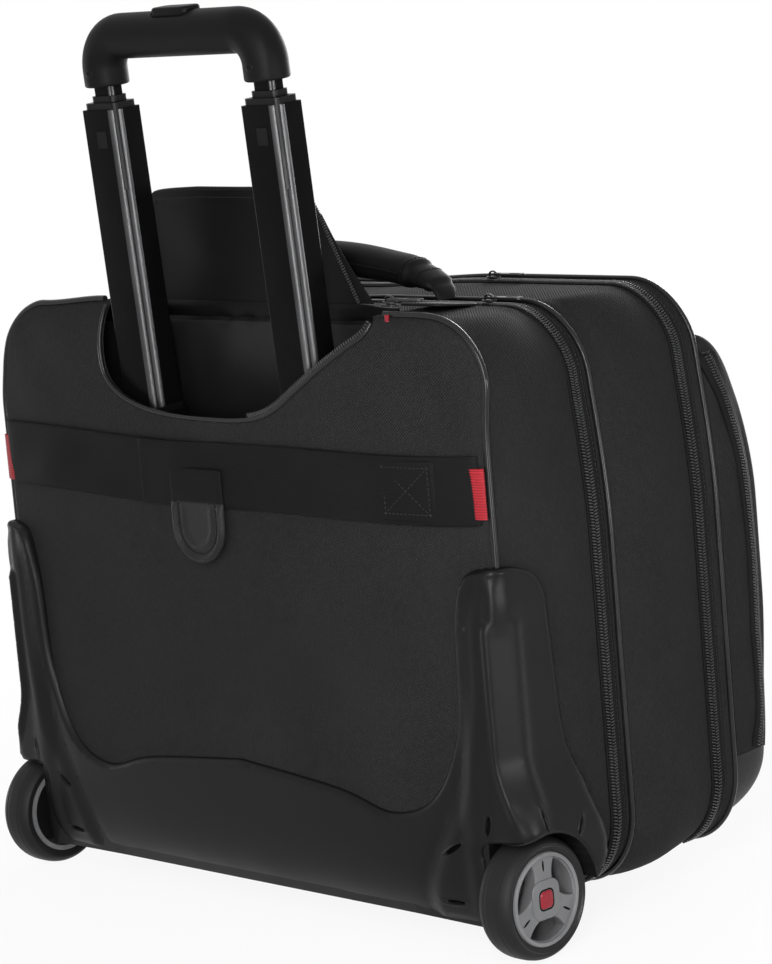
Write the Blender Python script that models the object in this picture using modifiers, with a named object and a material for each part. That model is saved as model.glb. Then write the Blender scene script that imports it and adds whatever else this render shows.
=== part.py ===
"""Rolling laptop case: soft sections on a moulded wheel base, with a telescopic trolley handle."""
import math

import bmesh
import bpy
from mathutils import Matrix, Vector

MM = 0.001

# Clearance between pieces that are seated on each other
GAP = 0.3 * MM

# Case: width along X, height along Z, depth along +Y measured from the rear plane
CASE_WIDTH = 430 * MM
CASE_BOTTOM = 21.5 * MM
CASE_TOP = 385 * MM
CASE_CORNER = 46 * MM
WALL = 3 * MM
REAR_DEPTH = 86.5 * MM
MID_DEPTH = 96 * MM
FRONT_DEPTH = 18 * MM
POCKET_DEPTH = 46 * MM
PANEL_BULGE = 14 * MM
PAD_THICKNESS = 7 * MM

# How the soft front sections sit lower than the stiff rear rim
FRONT_DROP = 11 * MM
FRONT_SAG = 3.5 * MM
FRONT_LEAN = 0.05
LAPTOP_SPACE = 41 * MM

# Opening of the rear panel for the trolley handle
OPENING_LEFT = -104 * MM
OPENING_RIGHT = 131 * MM
OPENING_BOTTOM = 311 * MM
OPENING_REACH = 28 * MM

# Wheels
WHEEL_RADIUS = 37 * MM
WHEEL_WIDTH = 24 * MM
WHEEL_OUT = 2.2 * MM
WHEEL_BACK = -5.3 * MM
HUB_RADIUS = 28.3 * MM
AXLE_RADIUS = 4 * MM
CAP_SIZE = 14.4 * MM
WELL_CLEARANCE = 2.7 * MM

# Wheel base moulding
MOULD = 3 * MM
BASE_LOW = 17.5 * MM
WAVE_CROWN = 98 * MM
WAVE_DIP = 79.5 * MM
PILLAR_TOP = 233.5 * MM
PILLAR_WIDTH = 25 * MM
FLARE_LOW = 72 * MM
FLARE_HIGH = 125 * MM
FLARE_OUT = 18.5 * MM
RIDGE = 3.5 * MM
MOULD_REACH = 120 * MM

# Trolley handle: nested tubes as (width, depth, wall), measured along the leaning axis
LEAN = math.radians(3.43)
TUBE_SPACING = 144 * MM
TUBE_Y = 21 * MM
TUBE_0 = (37.4 * MM, 27.6 * MM, 1.5 * MM)
TUBE_1 = (31 * MM, 21.4 * MM, 1.2 * MM)
TUBE_2 = (23.6 * MM, 15.9 * MM, 1.2 * MM)
TUBE_3 = (16.2 * MM, 10 * MM, 1.2 * MM)
TUBE_0_LOW = 40 * MM
TUBE_0_HIGH = 316 * MM
TUBE_1_HIGH = 508 * MM
STOW = 180 * MM
STEP = 4 * MM
SLEEVE = 50 * MM
GLIDE = 36 * MM
GLIDE_FLOOR = 9 * MM
SLIDE_GAP = 0.25 * MM

# Grip
GRIP_RADIUS = 14 * MM
BORE_SIDES = 12
GRIP_BEND = 20 * MM
GRIP_LEG = 10 * MM
BUTTON_LENGTH = 33 * MM
BUTTON_WIDTH = 16 * MM
BUTTON_PROUD = 3 * MM

# Soft trim
STRAP_LOW = 257 * MM
STRAP_HIGH = 298 * MM
STRAP_THICK = 1.5 * MM
STRAP_LAP = -65 * MM
TAB_X = -12 * MM
TAB_WIDTH = 47 * MM
TAB_LOW = 225 * MM
TAB_HIGH = 285 * MM
TAB_THICK = 2 * MM
FLAP_HEIGHT = 72 * MM
FLAP_LEAN = math.radians(12)
FLAP_THICK = 2.5 * MM
HANDLE_Y = 56 * MM
HANDLE_SPAN = 272 * MM
HANDLE_RISE = 21.6 * MM
HANDLE_RADIUS = 11 * MM
HANDLE_END = 5.2 * MM
FOOT_X = 112 * MM
FOOT_Y = 150 * MM
SKIRT_TOP = 73 * MM

HALF = CASE_WIDTH / 2
CASE_MID_Z = (CASE_BOTTOM + CASE_TOP) / 2
CASE_HEIGHT = CASE_TOP - CASE_BOTTOM
MID_START = REAR_DEPTH + GAP
MID_END = MID_START + MID_DEPTH
FRONT_START = MID_END + GAP
FRONT_END = FRONT_START + FRONT_DEPTH
POCKET_START = FRONT_END + GAP
POCKET_END = POCKET_START + POCKET_DEPTH
WHEEL_X = HALF + WHEEL_OUT
WHEEL_FACE = WHEEL_X + WHEEL_WIDTH / 2
REAR_Y = (WHEEL_RADIUS + WHEEL_BACK - POCKET_END) / 2
DIVIDER_Y = TUBE_Y + TUBE_0[1] / 2 + 1 * MM
TUBE_X = TUBE_SPACING / 2
GRIP_LOW = TUBE_1_HIGH + 3 * STEP + 2 * MM
GRIP_Z = GRIP_LOW + GRIP_LEG + GRIP_BEND
TUBE_ROUND = 2.6 * MM
TUBE_REACH = math.hypot(TUBE_3[0] / 2 - TUBE_ROUND, TUBE_3[1] / 2 - TUBE_ROUND) + TUBE_ROUND
GRIP_BORE = (TUBE_REACH + GAP) / math.cos(math.pi / BORE_SIDES)

for old in list(bpy.data.objects):
    bpy.data.objects.remove(old, do_unlink=True)

PARTS = bpy.data.collections.new("rolling_laptop_case")
CUTTERS = bpy.data.collections.new("cutters")
bpy.context.scene.collection.children.link(PARTS)
bpy.context.scene.collection.children.link(CUTTERS)


def make_material(name, colour, roughness, metallic=0.0):
    mat = bpy.data.materials.new(name)
    mat.use_nodes = True
    shader = mat.node_tree.nodes["Principled BSDF"]
    shader.inputs["Base Color"].default_value = (*colour, 1.0)
    shader.inputs["Roughness"].default_value = roughness
    shader.inputs["Metallic"].default_value = metallic
    return mat


NYLON = make_material("ballistic_nylon", (0.035, 0.035, 0.038), 0.75)
LINING = make_material("lining_cloth", (0.02, 0.02, 0.022), 0.6)
WEBBING = make_material("satin_webbing", (0.012, 0.012, 0.014), 0.45)
LEATHER = make_material("leatherette", (0.016, 0.016, 0.018), 0.5)
MOULDED = make_material("satin_plastic", (0.02, 0.02, 0.022), 0.42)
TUBE_BLACK = make_material("black_anodised", (0.012, 0.012, 0.013), 0.22, 0.6)
COLLAR = make_material("collar_plastic", (0.018, 0.018, 0.02), 0.4)
GRIP_RUBBER = make_material("grip_plastic", (0.022, 0.022, 0.024), 0.55)
TYRE = make_material("tyre_rubber", (0.014, 0.014, 0.015), 0.7)
HUB_GREY = make_material("hub_plastic", (0.09, 0.09, 0.1), 0.4)
CAP_RED = make_material("cap_red", (0.45, 0.02, 0.025), 0.35)
STEEL = make_material("steel_pin", (0.55, 0.55, 0.56), 0.3, 1.0)
DARK_METAL = make_material("dark_zinc", (0.06, 0.06, 0.065), 0.35, 0.8)


def make_empty(name, location, parent=None, tilt=0.0):
    empty = bpy.data.objects.new(name, None)
    PARTS.objects.link(empty)
    empty.location = location
    empty.rotation_euler = (tilt, 0.0, 0.0)
    empty.parent = parent
    return empty


CASE = make_empty("case_frame", (0.0, REAR_Y, 0.0))
TROLLEY = make_empty("trolley_axis", (0.0, TUBE_Y, 0.0), CASE, LEAN)


def add_part(name, mesh, mat, parent=None):
    obj = bpy.data.objects.new(name, mesh)
    mesh.name = name
    mesh.materials.clear()
    mesh.materials.append(mat)
    PARTS.objects.link(obj)
    obj.parent = parent or CASE
    return obj


def add_cutter(name, mesh, parent=None):
    obj = bpy.data.objects.new(name, mesh)
    CUTTERS.objects.link(obj)
    obj.parent = parent or CASE
    obj.hide_render = True
    obj.display_type = "WIRE"
    return obj


def combine(obj, tool, operation):
    mod = obj.modifiers.new(operation.lower(), "BOOLEAN")
    mod.operation = operation
    mod.solver = "EXACT"
    mod.object = tool


def cut(obj, tool):
    combine(obj, tool, "DIFFERENCE")


def soften(obj, width, segments=2, angle=40):
    mod = obj.modifiers.new("edge_round", "BEVEL")
    mod.width = width
    mod.segments = segments
    mod.limit_method = "ANGLE"
    mod.angle_limit = math.radians(angle)


def finish_mesh(bm, name):
    bmesh.ops.remove_doubles(bm, verts=bm.verts, dist=1e-6)
    bmesh.ops.recalc_face_normals(bm, faces=bm.faces)
    mesh = bpy.data.meshes.new(name)
    bm.to_mesh(mesh)
    bm.free()
    return mesh


def curve_to_mesh(curve, matrix=None):
    holder = bpy.data.objects.new("curve_holder", curve)
    bpy.context.scene.collection.objects.link(holder)
    bpy.context.view_layer.update()
    graph = bpy.context.evaluated_depsgraph_get()
    mesh = bpy.data.meshes.new_from_object(holder.evaluated_get(graph))
    bpy.data.objects.remove(holder, do_unlink=True)
    bm = bmesh.new()
    bm.from_mesh(mesh)
    if matrix is not None:
        bm.transform(matrix)
    return finish_mesh(bm, "from_curve")


AXES = {
    "X": Matrix(((0, 0, 1), (1, 0, 0), (0, 1, 0))).to_4x4(),
    "Y": Matrix(((1, 0, 0), (0, 0, -1), (0, 1, 0))).to_4x4(),
    "Z": Matrix.Identity(4),
}


def prism(loops, low, high, axis):
    """Outline with holes, extruded from low to high along X, Y or Z."""
    curve = bpy.data.curves.new("outline", "CURVE")
    curve.dimensions = "2D"
    curve.fill_mode = "BOTH"
    curve.extrude = (high - low) / 2
    for loop in loops:
        spline = curve.splines.new("POLY")
        spline.points.add(len(loop) - 1)
        for point, (u, v) in zip(spline.points, loop):
            point.co = (u, v, 0.0, 1.0)
        spline.use_cyclic_u = True
    along = {"X": (1, 0, 0), "Y": (0, 1, 0), "Z": (0, 0, 1)}[axis]
    shift = Matrix.Translation(Vector(along) * (low + high) / 2)
    return curve_to_mesh(curve, shift @ AXES[axis])


def sweep(points, radius, rings, shares=None):
    """Round bar along a path of points, closed at both ends."""
    curve = bpy.data.curves.new("path", "CURVE")
    curve.dimensions = "3D"
    curve.bevel_depth = radius
    curve.bevel_resolution = rings
    curve.use_fill_caps = True
    spline = curve.splines.new("POLY")
    spline.points.add(len(points) - 1)
    for index, point in enumerate(points):
        spline.points[index].co = (*point, 1.0)
        spline.points[index].radius = shares[index] if shares else 1.0
    return curve_to_mesh(curve)


def loft(rings):
    """Closed body through loops of equal count, with flat ends."""
    bm = bmesh.new()
    loops = [[bm.verts.new(co) for co in ring] for ring in rings]
    count = len(loops[0])
    for first, second in zip(loops, loops[1:]):
        for i in range(count):
            j = (i + 1) % count
            bm.faces.new((first[i], first[j], second[j]))
            bm.faces.new((first[i], second[j], second[i]))
    bm.faces.new(loops[0])
    bm.faces.new(loops[-1])
    return finish_mesh(bm, "loft")


def slab(outline, low, high):
    """Flat plate of an outline in X and Z, between two depths."""
    return loft([[(x, y, z) for x, z in outline] for y in (low, high)])


def ring_body(loops):
    """Closed ring through loops of equal count, the last joined to the first."""
    bm = bmesh.new()
    rows = [[bm.verts.new(co) for co in loop] for loop in loops]
    count = len(rows[0])
    for k in range(len(rows)):
        first = rows[k]
        second = rows[(k + 1) % len(rows)]
        for i in range(count):
            j = (i + 1) % count
            bm.faces.new((first[i], first[j], second[j]))
            bm.faces.new((first[i], second[j], second[i]))
    return finish_mesh(bm, "ring")


def box(low, high):
    bm = bmesh.new()
    bmesh.ops.create_cube(bm, size=1.0)
    low = Vector(low)
    high = Vector(high)
    for vert in bm.verts:
        centre = (low + high) / 2
        vert.co = centre + Vector(a * b for a, b in zip(vert.co, high - low))
    return finish_mesh(bm, "box")


def circle(radius, count, centre=(0.0, 0.0), start=0.0):
    step = 2 * math.pi / count
    u0, v0 = centre
    angles = [start + step * i for i in range(count)]
    return [(u0 + radius * math.cos(a), v0 + radius * math.sin(a)) for a in angles]


def rounded_rect(width, height, radius, centre=(0.0, 0.0), steps=5, across=1, upright=1):
    """Rounded rectangle with optional extra points along its straight sides."""
    u0, v0 = centre
    a = width / 2 - radius
    b = height / 2 - radius
    corners = ((a, b, 0), (-a, b, 1), (-a, -b, 2), (a, -b, 3))
    points = []
    for index, (cu, cv, quarter) in enumerate(corners):
        for i in range(steps + 1):
            angle = math.pi / 2 * (quarter + i / steps)
            points.append((u0 + cu + radius * math.cos(angle), v0 + cv + radius * math.sin(angle)))
        extra = across if quarter % 2 == 0 else upright
        nu, nv, next_quarter = corners[(index + 1) % 4]
        angle = math.pi / 2 * next_quarter
        last = points[-1]
        following = (u0 + nu + radius * math.cos(angle), v0 + nv + radius * math.sin(angle))
        for i in range(1, extra):
            t = i / extra
            points.append((last[0] + (following[0] - last[0]) * t, last[1] + (following[1] - last[1]) * t))
    return points


def smooth_path(points, steps):
    """Curve through the points, rounded between them."""
    result = []
    for i in range(len(points) - 1):
        p0 = points[max(i - 1, 0)]
        p1 = points[i]
        p2 = points[i + 1]
        p3 = points[min(i + 2, len(points) - 1)]
        for k in range(steps):
            t = k / steps
            value = []
            for a, b, c, d in zip(p0, p1, p2, p3):
                bend = 2 * b + (c - a) * t + (2 * a - 5 * b + 4 * c - d) * t * t
                bend += (3 * b - a - 3 * c + d) * t ** 3
                value.append(bend / 2)
            result.append(tuple(value))
    result.append(tuple(points[-1]))
    return result


def mirrored(points):
    return [(-u, v) for u, v in reversed(points)]


def blend(value, low, high):
    t = min(max((value - low) / (high - low), 0.0), 1.0)
    return t * t * (3 - 2 * t)


def settle(x, z, share):
    """Rim point moved towards where the softer front sections have it."""
    lean = FRONT_LEAN * blend(z, CASE_TOP - 150 * MM, CASE_TOP)
    drop = FRONT_DROP * blend(z, CASE_TOP - 95 * MM, CASE_TOP)
    sag = FRONT_SAG * (1 - blend(z, CASE_BOTTOM, CASE_BOTTOM + 60 * MM))
    return (x * (1 - lean * share), z - (drop + sag) * share)


def top_at(y):
    """Height of the flat part of the case top."""
    return CASE_TOP - FRONT_DROP * min(y / REAR_DEPTH, 1.0)


def case_outline(grow=0.0, share=0.0, across=4, upright=10):
    size = (CASE_WIDTH + 2 * grow, CASE_HEIGHT + 2 * grow)
    points = rounded_rect(*size, CASE_CORNER + grow, (0.0, CASE_MID_Z), 5, across, upright)
    return [settle(x, z, share) for x, z in points]


def bulge(x, z):
    """How far the rear panel swells out behind its rim."""
    wide = max(0.0, 1 - abs(x / HALF) ** 4)
    tall = max(0.0, 1 - abs((z - CASE_MID_Z) / (CASE_HEIGHT / 2)) ** 12)
    return PANEL_BULGE * wide * tall


def panel_back(x, z):
    """Y of the outer face of the rear panel."""
    return -WALL - bulge(x, z)


def panel_rings(grow, shares, offset):
    rings = []
    outline = case_outline(grow, 0.0, 8, 6)
    for share in shares:
        ring = []
        for x, z in outline:
            px = x * share
            pz = CASE_MID_Z + (z - CASE_MID_Z) * share
            ring.append((px, offset - bulge(px, pz), pz))
        rings.append(ring)
    return rings


SHARES = (0.2, 0.5, 0.75, 0.9, 1.0)

# Rear section: gusset ring, swelling rear panel and the divider in front of the trolley tubes
gusset_loops = []
for grow, shares in ((0.0, (0.0, 0.25, 0.5, 1.0)), (-WALL, (1.0, 0.5, 0.25, 0.0))):
    for share in shares:
        y = max(REAR_DEPTH * share, GAP)
        gusset_loops.append([(x, y, z) for x, z in case_outline(grow, share)])
rear_gusset = add_part("rear_gusset", ring_body(gusset_loops), NYLON)
back_rings = panel_rings(0.0, SHARES, -WALL)
front_rings = panel_rings(0.0, SHARES, 0.0)
front_rings[-1] = [(x, 0.0, z) for x, y, z in front_rings[-1]]
rear_panel = add_part("rear_panel", loft(back_rings + front_rings[::-1]), NYLON)

opening_side = [
    (OPENING_LEFT, CASE_TOP + 20 * MM),
    (OPENING_LEFT, CASE_TOP - 38 * MM),
    (OPENING_LEFT + 22 * MM, OPENING_BOTTOM + 10 * MM),
    (OPENING_LEFT + 90 * MM, OPENING_BOTTOM),
    (OPENING_RIGHT - 88 * MM, OPENING_BOTTOM + 6 * MM),
    (OPENING_RIGHT - 20 * MM, OPENING_BOTTOM + 50 * MM),
    (OPENING_RIGHT, CASE_TOP - 6 * MM),
    (OPENING_RIGHT, CASE_TOP + 20 * MM),
]
opening = add_cutter(
    "handle_opening", prism([smooth_path(opening_side, 4)], -60 * MM, OPENING_REACH, "Y"))
cut(rear_panel, opening)
cut(rear_gusset, opening)

divider_high = CASE_TOP - WALL - 12 * MM
divider_low = CASE_BOTTOM + WALL + 3 * GAP
inner_half = HALF - WALL - GAP
inner_corner = CASE_CORNER - WALL - GAP
divider_outline = rounded_rect(
    2 * (inner_half - GAP), divider_high - divider_low, inner_corner, (0.0, (divider_low + divider_high) / 2),
    5, 4, 10)
divider_share = (DIVIDER_Y + 6 * MM) / REAR_DEPTH
divider_outline = [settle(x, z, divider_share) for x, z in divider_outline]
trolley_divider = add_part(
    "trolley_divider", slab(divider_outline, DIVIDER_Y, DIVIDER_Y + 2.5 * MM), LINING)

# Wheel housings let into the lower rear corners of the case
WELL_RADIUS = WHEEL_RADIUS + WELL_CLEARANCE
WELL_INNER = WHEEL_X - WHEEL_WIDTH / 2 - WELL_CLEARANCE
CUP_RADIUS = WELL_RADIUS + MOULD
BOSS_IN = WELL_INNER - 30 * MM
BOSS_HALF = 3 * AXLE_RADIUS
wheel_centre = (-WHEEL_BACK, WHEEL_RADIUS)


def both_sides(low, high):
    return ((1, low, high), (-1, -high, -low))


def housing_form(grow):
    """Cup and axle block of both wheels, as loops with their X limits."""
    forms = []
    for side, low, high in both_sides(WELL_INNER - MOULD - grow, HALF + 30 * MM):
        forms.append((prism([circle(CUP_RADIUS + grow, 32, wheel_centre)], low, high, "X"), side))
    for side, low, high in both_sides(BOSS_IN - grow, HALF + 20 * MM):
        half = BOSS_HALF + grow
        y0, z0 = wheel_centre
        outline = [(-60 * MM, 0.0), (y0 + half, 0.0), (y0 + half, z0 + half), (-60 * MM, z0 + half)]
        forms.append((prism([outline], low, high, "X"), side))
    return [mesh for mesh, side in forms]


for number, mesh in enumerate(housing_form(GAP)):
    tool = add_cutter("housing_room_%d" % number, mesh)
    cut(rear_gusset, tool)
    cut(rear_panel, tool)
    cut(trolley_divider, tool)

# Base moulding: flared corner pillars, wavy kick plate and wheel arches in one piece


def flare_at(z):
    return 1 - blend(z, FLARE_LOW, FLARE_HIGH)


def base_half(z):
    """Half width of the moulding, which flares out over the wheels."""
    slim = HALF + MOULD + 1.5 * MM + 2 * MM * blend(z, PILLAR_TOP - 40 * MM, PILLAR_TOP - 16 * MM)
    return slim + (HALF + FLARE_OUT - slim) * flare_at(z)


def base_back(x, z):
    """Y of the rear face of the moulding."""
    near = max(min(x, HALF - 8 * MM), 8 * MM - HALF)
    ridge = RIDGE * blend(abs(x), HALF - 33 * MM, HALF - 17 * MM)
    return panel_back(near, z) - GAP - MOULD - ridge


def base_ring(z):
    half = base_half(z)
    radius = 12 * MM
    inner = half - radius
    along = [-1, -0.95, -0.9, -0.85, -0.6, -0.3, 0, 0.3, 0.6, 0.85, 0.9, 0.95, 1]
    rear = [(inner * s, base_back(inner * s, z)) for s in along]
    corner_y = rear[0][1]
    ring = [(-half, 0.75 * MOULD_REACH)]
    for i in range(5):
        angle = math.pi + math.pi / 2 * i / 5
        ring.append((-inner + radius * math.cos(angle), corner_y + radius + radius * math.sin(angle)))
    ring += rear
    for i in range(1, 6):
        angle = 1.5 * math.pi + math.pi / 2 * i / 5
        ring.append((inner + radius * math.cos(angle), corner_y + radius + radius * math.sin(angle)))
    ring.append((half, 0.75 * MOULD_REACH))
    return [(x, y, z) for x, y in ring]


levels = [BASE_LOW, 40 * MM, 60 * MM, FLARE_LOW]
levels += [FLARE_LOW + (FLARE_HIGH - FLARE_LOW) * i / 5 for i in range(1, 6)]
levels += [FLARE_HIGH + (PILLAR_TOP - FLARE_HIGH) * i / 3 for i in range(1, 4)]
base_moulding = add_part("base_moulding", loft([base_ring(z) for z in levels]), MOULDED)

form_rings = panel_rings(GAP, SHARES, -WALL - 2 * GAP)
for y in (0.0, MOULD_REACH):
    form_rings.append([(x, y, z) for x, z in case_outline(GAP, y / REAR_DEPTH, 8, 6)])
case_form = add_cutter("case_form", loft(form_rings))
for number, mesh in enumerate(housing_form(0.0)):
    cut(case_form, add_cutter("housing_block_%d" % number, mesh))
cut(base_moulding, case_form)

pillar_in = HALF - PILLAR_WIDTH
wave = smooth_path([
    (0.0, WAVE_CROWN), (86 * MM, WAVE_DIP + 10 * MM), (130 * MM, WAVE_DIP),
    (pillar_in - 25 * MM, WAVE_DIP + 14 * MM), (pillar_in - 4 * MM, WAVE_DIP + 56 * MM),
    (pillar_in + 1 * MM, PILLAR_TOP - 34 * MM), (pillar_in + 9 * MM, PILLAR_TOP - 6 * MM),
    (pillar_in + 24 * MM, PILLAR_TOP),
], 4)
outer_edge = WHEEL_FACE + 20 * MM
rear_keep = mirrored(wave)[:-1] + wave
rear_keep += [(outer_edge, PILLAR_TOP + 1 * MM), (outer_edge, 0.0)]
rear_keep += [(-outer_edge, 0.0), (-outer_edge, PILLAR_TOP + 1 * MM)]
combine(base_moulding, add_cutter(
    "wave_keep", prism([rear_keep], -MOULD_REACH, MOULD_REACH, "Y")), "INTERSECT")
side_edge = smooth_path([
    (4 * MM, PILLAR_TOP + 0.5 * MM), (23 * MM, PILLAR_TOP - 6 * MM), (33 * MM, PILLAR_TOP - 24 * MM),
    (37 * MM, 165 * MM), (40 * MM, 115 * MM), (47 * MM, 84 * MM), (54 * MM, 64 * MM),
    (53.5 * MM, 52 * MM), (48 * MM, 43 * MM), (40 * MM, 38 * MM),
], 3)
side_keep = [(-MOULD_REACH, PILLAR_TOP + 0.5 * MM)] + side_edge
side_keep += [(40 * MM, BASE_LOW - 2 * MM), (-MOULD_REACH, BASE_LOW - 2 * MM)]
combine(base_moulding, add_cutter(
    "side_keep", prism([side_keep], -0.3, 0.3, "X")), "INTERSECT")
for side, low, high in both_sides(WELL_INNER, HALF + 60 * MM):
    well = prism([circle(WELL_RADIUS, 40, wheel_centre)], low, high, "X")
    cut(base_moulding, add_cutter("wheel_well_%d" % side, well))
for side, low, high in both_sides(BOSS_IN + 14 * MM, HALF + 60 * MM):
    notch_z = WELL_RADIUS + WHEEL_RADIUS - 9 * MM
    notch = prism([rounded_rect(60 * MM, 2 * notch_z, 6 * MM, (-43 * MM, 0.0), 3)], low, high, "X")
    cut(base_moulding, add_cutter("wheel_notch_%d" % side, notch))
for side, low, high in both_sides(BOSS_IN + 14 * MM, HALF + 60 * MM):
    sill = box((low, WHEEL_RADIUS - 12 * MM, 0.0), (high, 90 * MM, CASE_BOTTOM + 1.5 * MM))
    cut(base_moulding, add_cutter("sill_%d" % side, sill))
for side, low, high in both_sides(BOSS_IN + 2 * MM, HALF):
    bore = prism([circle(AXLE_RADIUS + GAP, 24, wheel_centre)], low, high, "X")
    cut(base_moulding, add_cutter("axle_hole_%d" % side, bore))
# Slots set round the wheel arches: across, height and tilt on the rear face, then on the flank
SLOT_DEEP = 1.6 * MM
rear_slots = (
    (WHEEL_X - 41 * MM, WHEEL_RADIUS + 29 * MM, 34),
    (WHEEL_X - 45 * MM, WHEEL_RADIUS - 4 * MM, 0),
    (WHEEL_X - 13 * MM, WHEEL_RADIUS + 46 * MM, 68),
)
flank_slots = (
    (5 * MM, WHEEL_RADIUS + 47 * MM, 100),
    (34 * MM, WHEEL_RADIUS + 38 * MM, 62),
)


def slot_outline(u0, v0, tilt):
    turn = Matrix.Rotation(math.radians(tilt), 2)
    bar = rounded_rect(14 * MM, 3.6 * MM, 1.7 * MM, steps=2)
    return [(u0 + (turn @ Vector(p)).x, v0 + (turn @ Vector(p)).y) for p in bar]


for side in (1, -1):
    for number, (x, z, tilt) in enumerate(rear_slots):
        outline = [(side * u, v) for u, v in slot_outline(x, z, tilt)]
        slot = prism([outline], -60 * MM, base_back(x, z) + SLOT_DEEP, "Y")
        cut(base_moulding, add_cutter("rear_slot_%d_%d" % (side, number), slot))
    for number, (y, z, tilt) in enumerate(flank_slots):
        span = sorted((side * (base_half(z) - SLOT_DEEP), side * (HALF + 60 * MM)))
        slot = prism([slot_outline(y, z, tilt)], *span, "X")
        cut(base_moulding, add_cutter("flank_slot_%d_%d" % (side, number), slot))

# Wheels with tyre, spoked hub, cap and fixed axle
hub_in = WHEEL_X - WHEEL_WIDTH / 2 + 1 * MM
hub_out = WHEEL_FACE
for name, side in (("left", -1), ("right", 1)):
    spin = make_empty("wheel_axis_" + name, (side * WHEEL_X, -WHEEL_BACK, WHEEL_RADIUS), CASE)
    half = WHEEL_WIDTH / 2
    tread = [
        (HUB_RADIUS + GAP, -half + 1.5 * MM), (WHEEL_RADIUS - 5 * MM, -half),
        (WHEEL_RADIUS - 1.4 * MM, -half + 3 * MM), (WHEEL_RADIUS, -half + 8 * MM),
        (WHEEL_RADIUS, half - 8 * MM), (WHEEL_RADIUS - 1.4 * MM, half - 3 * MM),
        (WHEEL_RADIUS - 5 * MM, half), (HUB_RADIUS + GAP, half - 1.5 * MM),
    ]
    turned = []
    for k in range(len(tread)):
        radius, x = tread[k]
        turned.append([(x, u, v) for u, v in circle(radius, 36)])
    add_part("tyre_" + name, ring_body(turned), TYRE, spin)

    face = half * side
    disc_in = (half - 11 * MM) * side
    rim_in = (1 * MM - half) * side
    cap_room = (half - 4 * MM) * side
    reach = HUB_RADIUS - 3.6 * MM
    away = 28 * MM
    lens = 17 * MM
    chord = (reach ** 2 - lens ** 2 + away ** 2) / (2 * away)
    rise = math.sqrt(reach ** 2 - chord ** 2)
    inner_turn = math.atan2(rise, away - chord)
    outer_turn = math.atan2(rise, chord)
    windows = []
    for k in range(3):
        angle = math.radians(-90 + 120 * k)
        window = []
        for i in range(11):
            t = angle + math.pi + inner_turn * (2 * i / 10 - 1)
            window.append((
                away * math.cos(angle) + lens * math.cos(t), away * math.sin(angle) + lens * math.sin(t)))
        for i in range(1, 6):
            t = angle + outer_turn * (2 * i / 6 - 1)
            window.append((reach * math.cos(t), reach * math.sin(t)))
        windows.append(window)
    disc = prism([circle(HUB_RADIUS - 1 * MM, 36)] + windows, *sorted((disc_in, face - side * 1.5 * MM)), "X")
    hub = add_part("hub_" + name, disc, HUB_GREY, spin)
    rim = prism([circle(HUB_RADIUS, 36), circle(HUB_RADIUS - 3 * MM, 36)], *sorted((rim_in, face)), "X")
    combine(hub, add_cutter("hub_rim_" + name, rim, spin), "UNION")
    boss = prism([circle(9 * MM, 24)], *sorted((rim_in, disc_in + side * 1 * MM)), "X")
    combine(hub, add_cutter("hub_boss_" + name, boss, spin), "UNION")
    bore = prism([circle(AXLE_RADIUS + GAP, 20)], -half - 5 * MM, half + 5 * MM, "X")
    cut(hub, add_cutter("hub_bore_" + name, bore, spin))
    seat = prism([rounded_rect(CAP_SIZE, CAP_SIZE, 3.8 * MM)], *sorted((cap_room, face + side * 2 * MM)), "X")
    cut(hub, add_cutter("cap_seat_" + name, seat, spin))
    cap_span = sorted((cap_room + side * GAP, face - side * 0.3 * MM))
    plate = rounded_rect(CAP_SIZE - 2 * GAP, CAP_SIZE - 2 * GAP, 3.5 * MM)
    cap = add_part("hub_cap_" + name, prism([plate], *cap_span, "X"), CAP_RED, spin)
    soften(cap, 0.8 * MM, 1)
    pin_span = sorted((side * (BOSS_IN + 2 * MM + GAP), side * WHEEL_X + cap_room - side * 0.4 * MM))
    pin = add_part(
        "wheel_axle_" + name, prism([circle(AXLE_RADIUS, 24)], *pin_span, "X"), STEEL)
    pin.location = (0.0, -WHEEL_BACK, WHEEL_RADIUS)


# Trolley tubes, built upright and leaned by their axis
def tube_loops(size, x=0.0, grow=0.0, inner=True):
    width, depth, wall = size
    outer = rounded_rect(width + 2 * grow, depth + 2 * grow, TUBE_ROUND, (x, 0.0), 3)
    if not inner:
        return [outer]
    return [outer, rounded_rect(width - 2 * wall, depth - 2 * wall, 3.3 * MM, (x, 0.0), 3)]


def sleeve_loops(outside, inside, x):
    """Guide ring between an outer and an inner tube."""
    wide = outside[0] - 2 * outside[2] - 2 * SLIDE_GAP
    deep = outside[1] - 2 * outside[2] - 2 * SLIDE_GAP
    bore = (inside[0] + 2 * SLIDE_GAP, inside[1] + 2 * SLIDE_GAP)
    return [
        rounded_rect(wide, deep, 3.0 * MM, (x, 0.0), 3),
        rounded_rect(bore[0], bore[1], TUBE_ROUND, (x, 0.0), 3),
    ]


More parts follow.
